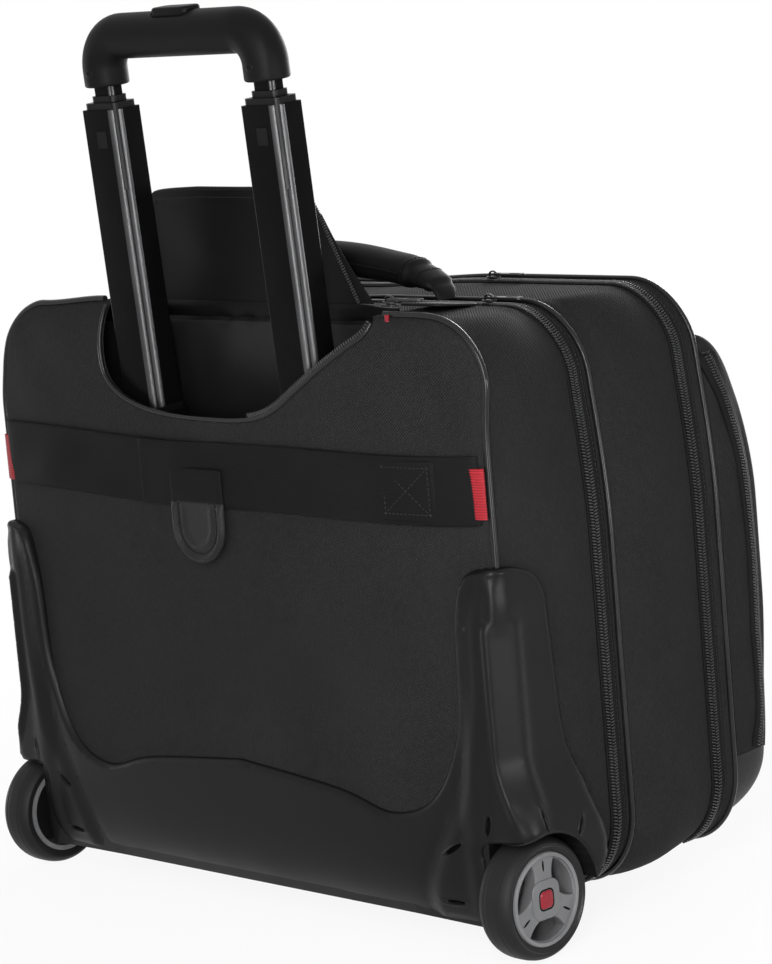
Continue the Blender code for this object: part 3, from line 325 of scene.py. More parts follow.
def line_distance(points, line, closed=False):
    """Distance of each point to a line of segments."""
    a = line if closed else line[:-1]
    d = (np.roll(line, -1, axis=0) if closed else line[1:]) - a
    length = np.maximum((d * d).sum(1), 1e-12)
    best = np.full(len(points), 1e9)
    for low in range(0, len(points), 1500):
        p = points[low:low + 1500, None, :]
        t = np.clip(((p - a) * d).sum(2) / length, 0, 1)
        gap = p - (a + t[..., None] * d)
        best[low:low + 1500] = np.sqrt((gap * gap).sum(2).min(1))
    return best


def inside(points, loop):
    """Which points lie inside a loop."""
    x, y = points.T
    result = np.zeros(len(points), bool)
    for (x0, y0), (x1, y1) in zip(loop, np.roll(loop, -1, axis=0)):
        if abs(y1 - y0) > 1e-12:
            result ^= ((y0 > y) != (y1 > y)) & (x < (x1 - x0) * (y - y0) / (y1 - y0) + x0)
    return result


# Meshes, as points and faces

def fill(loop, step, extra=(), rows=()):
    """Triangles inside a flat loop: its points, faces and their distance to the edge."""
    loop = np.array([tuple(p) for p in loop], float)
    edge = resample(np.vstack([loop, loop[:1]]), min(step, 4.0))[:-1]
    low, high = edge.min(0), edge.max(0)
    us = np.arange(low[0] + step / 2, high[0], step)
    grid = np.vstack([
        spots(us + (step / 2 if k % 2 else 0.0), v)
        for k, v in enumerate(np.arange(low[1] + step / 2, high[1], step * 0.87))])
    clear = max(step * 0.5, max(rows, default=0.0) + 0.4)
    inner = [grid[inside(grid, edge) & (line_distance(grid, edge, True) > clear)]]
    after = np.roll(edge, -1, axis=0)
    ahead = after - np.roll(edge, 1, axis=0)
    normal = np.stack([-ahead[:, 1], ahead[:, 0]], axis=1)
    normal /= np.maximum(np.linalg.norm(normal, axis=1), 1e-9)[:, None]
    if np.sum(edge[:, 0] * after[:, 1] - after[:, 0] * edge[:, 1]) < 0:
        normal = -normal
    for row in rows:
        near = edge + normal * row
        inner.append(near[line_distance(near, edge, True) > row * 0.9])
    for more in extra:
        inner.append(more[inside(more, edge) & (line_distance(more, edge, True) > 0.3)])
    count = len(edge)
    sides = [(i, (i + 1) % count) for i in range(count)]
    made = delaunay_2d_cdt([Vector(p) for p in np.vstack([edge] + inner)], sides, [], 1, 1e-5)
    flat = np.array([tuple(v) for v in made[0]])
    return flat, [tuple(f) for f in made[2]], line_distance(flat, edge, True)


def shell(faces, outer, inner):
    """Closed body from one triangulation and its two sides."""
    count = len(outer)
    every = list(faces) + [tuple(i + count for i in reversed(f)) for f in faces]
    edges = {(face[i], face[(i + 1) % len(face)]): True for face in faces for i in range(len(face))}
    every += [(b, a, a + count, b + count) for a, b in edges if (b, a) not in edges]
    return np.vstack([outer, inner]), every


def grid_shell(outer, inner):
    rows, columns = outer.shape[:2]
    faces = [
        (r * columns + c, r * columns + c + 1, (r + 1) * columns + c + 1, (r + 1) * columns + c)
        for r in range(rows - 1) for c in range(columns - 1)]
    return shell(faces, outer.reshape(-1, 3), inner.reshape(-1, 3))


def swept(rings, closed=False):
    """Skin over a row of rings; its ends are capped unless it is closed."""
    count, sides = rings.shape[:2]
    faces = []
    for i in range(count if closed else count - 1):
        a, b = i * sides, (i + 1) % count * sides
        faces += [(a + k, a + (k + 1) % sides, b + (k + 1) % sides, b + k) for k in range(sides)]
    if not closed:
        faces += [tuple(range(sides))[::-1], tuple((count - 1) * sides + k for k in range(sides))]
    return rings.reshape(-1, 3), faces


def strip(path, first, second, profile, closed=False):
    """A section carried along a path: profile points are (along first, along second)."""
    first, second = np.asarray(first, float), np.asarray(second, float)
    return swept(np.stack([path + u * first + v * second for u, v in profile], axis=1), closed)


def tube(path, first, second, radius, sides=10, closed=False, squeeze=1.0):
    """Round bar along a path; first and second span its section at each point."""
    radius = np.broadcast_to(radius, len(path))[:, None]
    return strip(path, radius * first, radius * second, arc(1.0, full_turn(sides)) * (1, squeeze), closed)


def turned(profile, count):
    """Body turned about X: profile points are (radius, x)."""
    rings = [spots(x, *arc(radius, full_turn(count)).T) for radius, x in profile]
    return swept(np.array(rings), True)


def extruded(loops, low, high):
    """Solid between two heights from an outline and its holes."""
    flat = np.vstack(loops)
    count = len(flat)
    faces = []
    for a, b, c in tessellate_polygon([[Vector((u, v, 0)) for u, v in one] for one in loops]):
        faces += [(a, b, c), (c + count, b + count, a + count)]
    base = 0
    for one in loops:
        for k in range(len(one)):
            m = (k + 1) % len(one)
            faces.append((base + k, base + m, base + m + count, base + k + count))
        base += len(one)
    return np.vstack([spots(*flat.T, low), spots(*flat.T, high)]), faces


def moved(part, shift):
    return part[0] + np.array(shift), part[1]


SIX = arc(1.0, full_turn(6))
BEAD = np.vstack([
    [(0.0, 0.0, -0.5)], spots(*(SIX * 0.75).T, -0.38), spots(*SIX.T, 0.0), spots(*(SIX * 0.75).T, 0.38),
    [(0.0, 0.0, 0.5)]])
BEAD_FACES = [(0, 1 + (k + 1) % 6, 1 + k) for k in range(6)]
for row in (1, 7):
    BEAD_FACES += [(row + k, row + (k + 1) % 6, row + 6 + (k + 1) % 6, row + 6 + k) for k in range(6)]
BEAD_FACES += [(13 + k, 13 + (k + 1) % 6, 19) for k in range(6)]


def beads(centres, along, across, up, length, wide, high):
    """Small rounded grains, such as stitches or zip teeth, set at the given places."""
    along, across, up = (np.broadcast_to(v, centres.shape)[:, None, :] for v in (along, across, up))
    points = (centres[:, None, :] + BEAD[:, 2:] * length * along
              + BEAD[:, :1] * wide / 2 * across + BEAD[:, 1:2] * high / 2 * up)
    faces = [tuple(k + i * len(BEAD) for k in face) for i in range(len(centres)) for face in BEAD_FACES]
    return points.reshape(-1, 3), faces


def stitches(path, up, length, wide, high):
    return beads(path, *frames(path, up), length, wide, high)


def teeth(path, up, length, wide, high):
    ahead, side, above = frames(path, up)
    return beads(path, side, ahead, above, length, wide, high)


# Objects

def place_object(name, mesh, mat, body, place, replaces, crease, weld=0.0):
    """Mesh in millimetres put on a body."""
    work = bmesh.new()
    work.from_mesh(mesh)
    if weld:
        bmesh.ops.remove_doubles(work, verts=work.verts, dist=weld)
    bmesh.ops.recalc_face_normals(work, faces=work.faces)
    work.to_mesh(mesh)
    work.free()
    mesh.transform(place)
    mesh.shade_smooth()
    mesh.set_sharp_from_angle(angle=math.radians(crease))
    mesh.materials.clear()
    mesh.materials.append(mat)
    obj = bpy.data.objects.new(name, mesh)
    SCENE.collection.objects.link(obj)
    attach(obj, body)
    if replaces:
        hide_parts(*replaces)
    return obj


def piece(name, parts, mat, body, place=CASE, replaces=(), crease=45):
    """One object from a list of (points, faces)."""
    points = []
    faces = []
    for part_points, part_faces in parts:
        base = len(points)
        points.extend(np.asarray(part_points, float).tolist())
        faces.extend([tuple(int(i) + base for i in face) for face in part_faces])
    mesh = bpy.data.meshes.new(name)
    mesh.from_pydata(points, [], faces)
    mesh.validate()
    return place_object(name, mesh, mat, body, place, replaces, crease)


def prism(name, loops, ends, axis, mat, body, place=CASE, round_off=0.0, replaces=(), steps=3):
    """Outline with holes, extruded between two ends with rounded edges."""
    low, high = sorted(ends)
    curve = bpy.data.curves.new(name, "CURVE")
    curve.dimensions = "2D"
    curve.fill_mode = "BOTH"
    curve.extrude = (high - low) / 2 - round_off
    curve.bevel_depth = round_off
    curve.bevel_resolution = steps
    curve.offset = -round_off
    for loop in loops:
        spline = curve.splines.new("POLY")
        spline.points.add(len(loop) - 1)
        for point, (u, v) in zip(spline.points, loop):
            point.co = (u, v, 0.0, 1.0)
        spline.use_cyclic_u = True
    holder = bpy.data.objects.new("holder", curve)
    SCENE.collection.objects.link(holder)
    bpy.context.view_layer.update()
    mesh = bpy.data.meshes.new_from_object(holder.evaluated_get(bpy.context.evaluated_depsgraph_get()))
    bpy.data.objects.remove(holder, do_unlink=True)
    turn, along = {
        "X": (((0, 0, 1), (1, 0, 0), (0, 1, 0)), (1, 0, 0)),
        "Y": (((1, 0, 0), (0, 0, -1), (0, 1, 0)), (0, 1, 0)),
        "Z": (((1, 0, 0), (0, 1, 0), (0, 0, 1)), (0, 0, 1))}[axis]
    mesh.transform(Matrix.Translation(Vector(along) * (low + high) / 2) @ Matrix(turn).to_4x4())
    mesh.name = name
    return place_object(name, mesh, mat, body, place, replaces, 35, 1e-4)


def second_finish(obj, mat, chosen):
    """Another material on the faces that are chosen."""
    obj.data.materials.append(mat)
    for face in obj.data.polygons:
        face.material_index = 1 if chosen(face) else 0


# Rim of the case, run from the middle of the bottom up the right side and round

def rim_table():
    """Run along the rim, and X, Z and the outward direction there."""
    flat, low, high = HALF - CORNER, BOTTOM + CORNER, TOP - CORNER
    points = [(0.0, BOTTOM, 0.0, -1.0)]
    for x, z, nx, nz, begin, middle in (
            (flat, BOTTOM, 0, -1, -90, (flat, low)), (HALF, high, 1, 0, 0, (flat, high)),
            (-flat, TOP, 0, 1, 90, (-flat, high)), (-HALF, low, -1, 0, 180, (-flat, low)),
            (0.0, BOTTOM, 0, -1, 270, None)):
        x0, z0 = points[-1][:2]
        count = int(math.hypot(x - x0, z - z0) / 2) + 1
        for i in range(1, count + 1):
            points.append((x0 + (x - x0) * i / count, z0 + (z - z0) * i / count, nx, nz))
        if middle:
            for a in np.radians(begin + 90 * np.arange(1, 41) / 40):
                points.append((*arc(CORNER, a, middle), math.cos(a), math.sin(a)))
    table = np.array(points)
    return run_along(table[:, :2]), table


RUN, RIM = rim_table()
ROUND = RUN[-1]
TOP_RUN = ROUND / 2
SIDE_RUN = HALF - CORNER + CORNER * math.pi / 2


def side_run(z):
    """Run of a height on the straight part of the right side."""
    return SIDE_RUN + z - BOTTOM - CORNER


def top_run(x):
    return TOP_RUN - x


def rim_parts(run):
    return [np.interp(run, RUN, RIM[:, k]) for k in range(4)]


def rim_height(run):
    return rim_parts(run)[1]


def rim_normal(run):
    x, z, nx, nz = rim_parts(run)
    return unit(spots(nx, 0.0, nz))


def sides_only(run):
    """1 on the upright sides and corners, 0 on the flat top and bottom."""
    return smooth(np.abs(rim_parts(run)[2]), 0.05, 0.6)


def settle(x, z, share):
    """Rim point moved towards where the softer front sections have it."""
    lean = 0.05 * smooth(z, TOP - 150, TOP)
    drop = 11.0 * smooth(z, TOP - 95, TOP)
    sag = 3.5 * fade(z, BOTTOM, BOTTOM + 60)
    return x * (1 - lean * share), z - (drop + sag) * share


def slump(x, z, y=0.0):
    """Rear edge as the slack cloth has it: lower beside the mouth, rounder at the left."""
    near = fade(y, 15, 80)
    drop = 4.5 * smooth(x, 60, 125) * smooth(z, TOP - 45, TOP - 4) * (1 - 0.9 * smooth(x, 170, 205))
    drop = drop + 4.0 * smooth(-x, 104, 165) * smooth(z, TOP - 45, TOP - 6)
    out = 4.0 * smooth(x, 185, 205) * bell(z, 350.0, 25.0)
    out = out + 6.0 * smooth(-x, 150, 186) * smooth(z, 312, 354)
    return x + out * near, z - drop * near


def rim(run, y, out=0.0):
    """Point on the case's skirt of cloth, from the run, the distance forward and the height off the skin."""
    x, z, nx, nz = rim_parts(run)
    y = np.broadcast_to(np.asarray(y, float), np.shape(x))
    px, pz = settle(x + out * nx, z + out * nz, np.clip(y / REAR_END, 0.0, 1.0))
    px, pz = slump(px, pz, y)
    pz = pz - 4.5 * smooth(-px, -55, 50) * smooth(y, 60, 88) * smooth(z, TOP - 40, TOP - 2)
    return spots(px, y, pz)


def rim_loop(y, out, count=160):
    """Flat outline of the case at a distance forward."""
    return rim(np.linspace(0, ROUND, count + 1)[:-1], y, out)[:, [0, 2]]


def panel_back(x, z):
    """Place of the swelling rear panel."""
    wide = np.maximum(0.0, 1 - np.abs(np.asarray(x, float) / HALF) ** 4)
    tall = np.maximum(0.0, 1 - np.abs((np.asarray(z, float) - MID_Z) / ((TOP - BOTTOM) / 2)) ** 12)
    return -3.0 - 14.0 * wide * tall


def low_corner(z):
    """How far the rounded lower corner draws the side in at a height, as a number below 0."""
    return np.sqrt(CORNER ** 2 - np.clip(BOTTOM + CORNER - z, 0, CORNER) ** 2) - CORNER


def box(left, right, low, high):
    return [(left, low), (right, low), (right, high), (left, high)]


def mirrored(points):
    return points * np.array([-1, 1])


def loop_ahead(row):
    """Direction of travel round a closed row."""
    return unit(np.roll(row, -1, axis=0) - np.roll(row, 1, axis=0))


# Rear gusset, cut out at the wheels and the mouth
ARCH = 43.2
runs = np.linspace(SIDE_RUN - CORNER * math.pi / 2 + 33.5, side_run(80.0), 14)
arch_y = WHEEL_Y + np.sqrt(np.maximum(ARCH ** 2 - (rim_height(runs) - WHEEL_Z) ** 2, 0.0))
notch = [(172.3, 0.3), (172.3, 17.9), (runs[0], 17.9), *zip(runs, arch_y), (runs[-1], 0.3)]
mouth = ((131, 0.3), (131, 22.0), (125, 28.0), (-98, 28.0), (-104, 22.0), (-104, 0.3))
loop = [(0.0, 0.3)] + notch + [(top_run(x), y) for x, y in mouth]
loop += [(ROUND - s, y) for s, y in reversed(notch)] + [(ROUND, 0.3), (ROUND, REAR_END), (0.0, REAR_END)]
flat, faces, depth = fill(loop, 6.5, rows=(1.5, 4.0))
run, y = flat.T
upright = sides_only(run)
off = 3.4 * half_wave(y, 6, 70) * upright * np.maximum(smooth(rim_height(run), 236, 262), smooth(y, 50, 66))
off += 0.4 * np.sin(run / 19.0) * smooth(y, 55, 66) * fade(y, 70, 76) * upright
off -= 0.7 * smooth(y, 80.2, 82.2) + 0.8 * (1 - np.clip(depth / 1.5, 0, 1)) ** 2
skin = shell(faces, rim(run, y, off), rim(run, y, -3.0))
rear_ring = piece("rear_ring", [skin], NYLON_PAINTED_SHADE, "case", replaces=("rear_gusset",))

# Rear panel with its U-shaped mouth
MOUTH = smooth_path([
    (-99, 405), (-99, 354), (-88, 332), (-57, 320), (-11, 316), (44, 319), (81, 339), (118, 365), (134, 379),
    (135, 405)], 8)
mouth_in = MOUTH[MOUTH[:, 1] < TOP - 0.2]
right_rim = spots(*rim_parts(np.linspace(side_run(80.5), top_run(137), 60))[:2])
left_rim = mirrored(right_rim[right_rim[:, 0] > 112])
loop = np.vstack([
    [(171.9, BOTTOM), (171.9, 49.5), (199.0, 49.5), (199.0, 80.5)], right_rim, [(135.0, TOP)], mouth_in[::-1],
    [(-99.0, TOP), (-107.0, TOP)], left_rim[::-1],
    [(-199.0, 80.5), (-199.0, 49.5), (-171.9, 49.5), (-171.9, BOTTOM)]])
flat, faces, depth = fill(loop, 6.0, rows=(0.8, 2.0, 4.0))
x, z = flat.T
reach = np.abs(x)
free = smooth(z, 112, 150) * fade(z, 238, 252) * fade(reach, 160, 185)
wave = free * (1.1 * np.sin(x / 61.0 + z / 90.0) * np.sin(z / 37.0) + 0.5 * np.sin(x / 23.0 - z / 31.0))
upper = smooth(z, 302, 318) * smooth(reach, 120, 150) * fade(reach, 190, 208)
wave += upper * 0.8 * np.sin(x / 17.0 + z / 13.0)
lip = line_distance(flat, mouth_in)
wave += (0.7 * bell(lip, 4.5, 2.0) - 0.6 * bell(lip, 9.0, 1.4)) * (0.35 + 0.65 * smooth(x, 10, 50))
back = panel_back(x, z) - wave + 2.0 * edge_drop(depth, 4.0)
inner_y = np.maximum(panel_back(x, z) + 3.0, back + 0.8)
px, pz = slump(x, z)
skin = shell(faces, spots(px, back, pz), spots(px, inner_y, pz))
rear_cloth = piece("rear_cloth", [skin], NYLON, "case", replaces=("rear_panel",))

# Bound edge of the mouth, with the zip up its right side
edge = resample(MOUTH[MOUTH[:, 1] < TOP + 8], 3.0)


def beside(gap, lift, low=-200.0):
    """Line beside the mouth's edge, to the right of a place in X."""
    line = edge - left_of(edge) * gap
    x, z = line[(line[:, 1] < TOP - 1.5) & (line[:, 0] > low)].T
    px, pz = slump(x, z)
    return spots(px, panel_back(x, z) - lift, pz)


lip = beside(0.6, -0.4)
piece("mouth_binding", [tube(lip, *frames(lip, BACKWARD)[1:], 1.5)], PIPING, "case")
lip = beside(-0.8, -1.2, 30.0)
profile = [(-2.4, -2.0), (1.6, -2.0), (1.6, 0.4), (1.0, 0.8), (-2.0, 0.8), (-2.4, 0.4)]
piece("mouth_tape", [strip(lip, *frames(lip, BACKWARD)[1:], profile)], TAPE, "case")
row = resample(beside(-2.0, -0.2, 34.0), 1.9)
piece("mouth_teeth", [teeth(row, BACKWARD, 3.4, 1.35, 1.7)], COIL, "case")

# Puffed lining that hangs from the lip of the mouth, gathered along a seam
SEAM = 371.5
gx, gt = np.meshgrid(np.linspace(-101, 126, 76), np.linspace(0, 1, 40))
gz = 382.0 - 80.0 * gt - 1.5 * smooth(np.abs(gx - 12), 80, 112)
gy = 27.6 + 6.5 * smooth(gt, 0.1, 0.8)
below = SEAM - gz
lobe = 1.6 * half_wave(382.0 - gz, 0, 10.5) ** 0.7
lobe = np.where(gz < SEAM, 4.2 * half_wave(below, 0, 66.0) ** 0.45, lobe)
pucker = bell(gz, SEAM, 4.5) * 0.7 * np.sin(gx / 5.0 + 1.5 * np.sin(gx / 19.0))
folds = 0.8 * np.sin(gx / 23.0 + gz / 40.0) + 0.5 * np.sin(gx / 8.5 - gz / 17.0) * smooth(below, 0, 20)
hem = smooth(gx, -101, -92) * fade(gx, 117, 126)
outer = spots(gx, gy - (lobe + pucker + 0.6 * folds * (1 - bell(gz, SEAM, 4))) * hem, gz)
inner = spots(gx, np.minimum(gy + 1.2, 35.0), gz)
curtain = piece("mouth_lining", [grid_shell(outer, inner)], LINING_PAINTED_LIGHT, "case")
# Above the seam the lining keeps its plain colour; the lighter copy below is painted light on the lower puff
second_finish(curtain, LINING, lambda face: face.center.z > 0.3705)
row = spots(np.arange(-96, 122, 3.2), 27.9, 371.6)
sewn = beads(row, (1, 0, 0), (0, 0, 1), BACKWARD, 2.4, 0.6, 0.6)
piece("lining_stitches", [sewn], THREAD, "case")

# Divider in front of the tubes
ring = rim_loop(37.0, -4.2)
ring[:, 1] = np.minimum(ring[:, 1], 366.0 - 4.0 * smooth(np.abs(ring[:, 0]), 120, 190))
flat, faces, depth = fill(ring[(np.abs(ring[:, 0]) <= 198.8) | (ring[:, 1] >= 80)], 9.0, rows=(1.5,))
x, z = flat.T
fold = smooth(z, 250, 320) * (1.1 * np.sin(x / 21.0 + z / 60.0) + 0.7 * np.sin(x / 9.0 - z / 24.0))
fold += 2.4 * smooth(z, 316, 322) * fade(z, 322, 346) * fade(np.abs(x), 60, 110)
outer = spots(x, 36.6 - fold * smooth(depth, 0, 9) - 0.8 * smooth(depth, 0, 5), z)
skin = shell(faces, outer, spots(x, 38.3, z))
divider = piece("divider_cloth", [skin], LINING_PAINTED_LIGHT, "case", replaces=("trolley_divider",))

# Middle section: gusset, back wall and the pad for the laptop
runs = np.arange(3, ROUND - 3, 6.0)
extra = [spots(runs, y) for y in (96.5, 98.6, 101.6, 104.0, 110.5, 113.0, 115.5, 168.5, 171.0)]
flat, faces, depth = fill(box(0, ROUND, MID_START, MID_END), 6.0, extra, (1.2, 3.0))
run, y = flat.T
height = rim_height(run)
upright = sides_only(run)
off = 0.7 + 5.0 * upright + 5.0 * (1 - upright) * fade(height, 40, 120)
off = off * np.sin(math.pi * np.clip((y - 100) / 76, 0, 1) ** 0.85)
ripple = np.sin(run / 15.0 + 1.2 * np.sin(run / 41.0))
off += 0.45 * upright * ripple * smooth(y, 103, 112) * fade(y, 128, 150)
off += 0.35 * upright * np.sin(run / 21.0 + 0.7) * smooth(y, 135, 155) * fade(y, 160, 169)
off -= 1.3 * bell(y, 113.0 + 2.0 * np.sin(run / 30.0), 2.6) * smooth(height, 318, 352) * upright
off -= 0.7 * fade(y, 95, 98.5) + 0.7 * smooth(y, 176.4, 178.4)
skin = shell(faces, rim(run, y, off), rim(run, y, -3.0))
mid_ring = piece("mid_ring", [skin], NYLON_PAINTED_SHADE, "mid_section", replaces=("mid_gusset",))

flat, faces, depth = fill(rim_loop(88.0, -3.8), 12.0, rows=(2.0,))
x, z = flat.T
quilt = 0.5 * np.abs(np.sin(x / 21.0)) * smooth(depth, 2, 14)
wall = shell(faces, spots(x, 87.5 - 0.3 * smooth(depth, 0, 3), z), spots(x, 89.3 + quilt, z))
back_wall = piece("mid_wall", [wall], PADDING, "mid_section", replaces=("mid_back",))

ring = rim_loop(133.0, -4.5)
ring[:, 1] = np.minimum(ring[:, 1], 284.0)
flat, faces, depth = fill(ring, 8.0, rows=(0.8, 2.0, 4.0))
x, z = flat.T
quilt = 1 - 0.28 * bell((x + 1000.0) % 52.0, 26.0, 3.0) * smooth(depth, 4, 16)
half = 0.4 + 3.2 * (1 - edge_drop(depth, 9.0)) * quilt
pad = shell(faces, spots(x, 133.8 - half, z), spots(x, 133.8 + half, z))
laptop = piece("laptop_cushion", [pad], PADDING, "mid_section", replaces=("laptop_pad",))

# Front section: band, front wall, leatherette skirt and domed pocket
flat, faces, depth = fill(box(0, ROUND, TRAY_START, TRAY_END), 5.0, rows=(1.2,))
run, y = flat.T
off = 0.6 * smooth(y, 193, 198) - 0.7 * fade(y, 191.5, 194) + 0.2 * np.sin(run / 17.0) * smooth(y, 193, 197)
band = shell(faces, rim(run, y, off), rim(run, y, -3.0))
flat, faces, depth = fill(rim_loop(200.0, -0.6, 180), 12.0, rows=(2.0, 5.0))
x, z = flat.T
wall = shell(faces, spots(x, 198.1, z), spots(x, 200.2 + 0.9 * smooth(depth, 0, 4), z))
tray = piece("front_band", [band, wall], NYLON_PAINTED_SHADE, "front_section", replaces=("front_tray",))

# The pocket is nearly flat as far as FLAT_END and then turns round to its edge
FLAT_END, FLAT_TURN, FULL_Z = 0.55, 0.05, 160.0


def dome(u, z):
    """Point on the pocket: u runs from -1 to 1 round from the left edge to the right one."""
    turn = FLAT_TURN + (math.pi / 2 - FLAT_TURN) * np.clip((np.abs(u) - FLAT_END) / (1 - FLAT_END), 0, 1)
    x = np.minimum(np.abs(u) / FLAT_END, 1) * np.sin(turn) ** (1 / 30.0)
    wide = np.clip(1 - x ** 60, 0, 1) ** 0.45
    up = np.clip((z - FULL_Z) / (POCKET_HIGH - FULL_Z), 0, 1)
    down = np.clip((FULL_Z - z) / (FULL_Z - POCKET_LOW), 0, 1)
    tall = np.where(z > FULL_Z, (1 - up ** 6) ** 0.6, np.sqrt(1 - down ** 6))
    px = np.sign(u) * x * 213.0 * (1 - 0.05 * smooth(z, TOP - 150, TOP)) * (HALF + low_corner(z)) / HALF
    corner = 4.0 * smooth(z, 240, POCKET_HIGH) * smooth(np.abs(px), 150, 196)
    out = (47.0 + 7.5 * smooth(z, 78, 170) * (1 - 0.6 * smooth(z, 230, 310))) * tall * wide
    swell = 3.4 * np.sin(math.pi * np.clip(out / 38, 0, 1) ** 0.7)
    swell = swell * smooth(x, 0.93, 0.98) * smooth(z, 74, 100)
    return spots(px + np.sign(u) * swell, POCKET_Y + out, z + corner)


def dome_skin(u, z):
    """Points on the pocket and the directions out of it."""
    du = dome(np.clip(u + 0.004, -1, 1), z) - dome(np.clip(u - 0.004, -1, 1), z)
    dz = dome(u, np.minimum(z + 0.3, POCKET_HIGH)) - dome(u, np.maximum(z - 0.3, POCKET_LOW))
    return dome(u, z), unit(np.cross(dz, du))


turned_part = np.linspace(FLAT_END, 1, 22)[1:]
US = np.concatenate([-turned_part[::-1], np.linspace(-FLAT_END, FLAT_END, 23), turned_part])


def dome_piece(name, zs, mat, body, node, swell):
    outer, normal = dome_skin(*np.meshgrid(US, zs))
    outer = outer + normal * swell(*np.moveaxis(outer, -1, 0))[..., None]
    inner = outer - normal * 2.5
    for skin in (outer, inner):
        skin[..., 1] = np.maximum(skin[..., 1], 201.4)
    return piece(name, [grid_shell(outer, inner)], mat, body, replaces=(node,))


def pocket_swell(x, y, z):
    gather = 0.5 * np.sin(z / 8.0) * smooth(np.abs(x), 203, 210) * smooth(y, 203, 210) * fade(y, 222, 230)
    front = fade(np.abs(x), 180, 205) * 0.9 * np.sin(x / 47.0) * np.sin(z / 41.0)
    return gather + front * smooth(z, 85, 110)


def skirt_swell(x, y, z):
    return 0.35 * np.sin(x / 33.0) * smooth(y, 215, 240)


share = np.linspace(0, 1, 44)
levels = 73.3 + (336.9 - 73.3) * np.sin(math.pi / 2 * share)
pocket = dome_piece("pocket_cloth", levels, NYLON_PAINTED_SHADE, "pocket", "pocket_flap", pocket_swell)
levels = 29.7 + (73.0 - 29.7) * share
skirt = dome_piece(
    "skirt_leather", levels, LEATHER, "front_section", "front_skirt", skirt_swell)

# Piping along the seams


def piping(run, y, out, radius, closed=False):
    return tube(rim(run, y, out), rim_normal(run), FORWARD, radius, closed=closed)


spans = ((side_run(231), top_run(141)), (top_run(-105), ROUND - side_run(231)))
parts = [piping(np.arange(*span, 3.5), -1.3, 0.9, 2.1) for span in spans]
piece("rear_piping", parts, PIPING, "case")
run = np.arange(150.0, ROUND - 150.0, 3.5)
piece("mid_piping", [piping(run, 100.0, 1.3, 1.8)], PIPING, "mid_section")
run = np.linspace(0, ROUND, 430)[:-1]
piece("front_piping", [piping(run, 200.0, 0.9, 1.8, True)], PIPING, "front_section")

# Rolled hem along each bottom hinge, so that no slit opens there
for name, y, body in (("rear", REAR_SEAM, "case"), ("front", FRONT_SEAM, "mid_section")):
    row = spots(np.arange(-150, 151, 5.0), y, HINGE_Z)
    piece(name + "_hinge_hem", [tube(row, FORWARD, (0, 0, 1), 1.6, 12)], NYLON_PAINTED_SHADE, body)


def zip_half(name, y, side, body, low):
    """Tape and coil on one side of a seam; the wider tape in front is sewn down."""
    run = np.arange(low, ROUND - low, 4.0)
    reach = 4.8 if side < 0 else 9.2
    profile = [
        (0.25, -2.2), (reach - 0.2, -2.2), (reach, 0.2), (reach - 0.7, 0.7), (3.4, 0.7), (3.0, 0.3),
        (0.25, 0.3)]
    tape = strip(rim(run, y), (0, side, 0), rim_normal(run), profile)
    piece(name + "_tape", [tape], TAPE, body)
    run = np.arange(186.0, ROUND - 186.0, 1.9) + (0.95 if side > 0 else 0.0)
    normal = rim_normal(run)
    along = unit(FORWARD + 0.3 * np.cross(normal, FORWARD) * side)
    coil = beads(rim(run, y + side * 1.9, 1.0), along, np.cross(normal, along), normal, 3.5, 1.3, 1.9)
    piece(name + "_coil", [coil], COIL, body)
    if side > 0:
        run = np.arange(low + 2, ROUND - low - 2, 3.2)
        normal = rim_normal(run)
        sewn = beads(rim(run, y + 7.4, 0.75), np.cross(normal, FORWARD), FORWARD, normal, 2.4, 0.55, 0.5)
        piece(name + "_stitches", [sewn], THREAD, body)


zip_half("rear_zip_back", REAR_SEAM, -1, "case", 150.0)
zip_half("rear_zip_front", REAR_SEAM, 1, "mid_section", 150.0)
zip_half("front_zip_back", FRONT_SEAM, -1, "mid_section", 135.0)
zip_half("front_zip_front", FRONT_SEAM, 1, "front_section", 135.0)

# Zip of the front pocket, up its right side, over the top and down the left
SIDE_LINE = smooth_path([
    (230, 74), (234, 95), (235, 123), (234, 151), (236, 192), (234, 230), (230, 261), (222, 292), (214, 311),
    (208, 324)], 5)
POCKET_TOP = 331.0


def pocket_line():
    """Right half of the zip, as places for dome_skin."""
    places = []
    us = np.linspace(0.56, 1.0, 200)
    for y, z in SIDE_LINE:
        found = dome(us, z)[:, 1]
        places.append((us[np.argmin(np.abs(found - min(y, found.max() - 1.5)))], z))
    us = np.linspace(0, 0.9, 400)
    found = dome(us, POCKET_TOP)[:, 0]
    for x in np.linspace(188, 0, 20):
        places.append((us[np.argmin(np.abs(found - x))], POCKET_TOP))
    return np.array(places)


flip = np.array([-1, 1, 1])
zip_line, zip_normal = (np.vstack([half, half[-2::-1] * flip]) for half in dome_skin(*pocket_line().T))
zip_run = run_along(zip_line)


def along_pocket(step):
    """Points along the pocket's zip, with directions ahead, sideways and up."""
    at = np.arange(0, zip_run[-1], step)
    p, n = (spots(*(np.interp(at, zip_run, v) for v in line.T)) for line in (zip_line, zip_normal))
    return p, *frames(p, unit(n))


p, ahead, side, up = along_pocket(4.0)
profile = [
    (-8.0, -1.5), (8.0, -1.5), (8.0, 0.5), (7.4, 1.0), (0.4, 1.0), (0.0, 0.4), (-0.4, 1.0), (-7.4, 1.0),
    (-8.0, 0.5)]
piece("pocket_zip_tape", [strip(p, side, up, profile)], TAPE, "pocket")
p, ahead, side, up = along_pocket(1.9)
parts = [
    beads(p + side * 1.75 + up * 1.3, unit(side + 0.3 * ahead), ahead, up, 3.3, 1.3, 1.9),
    beads(p - side * 1.75 + up * 1.3 + ahead * 0.95, unit(side - 0.3 * ahead), ahead, up, 3.3, 1.3, 1.9)]
piece("pocket_zip_coil", parts, COIL, "pocket")

# Strap in two lapped bands with its stitched patch, and the red side ribbons


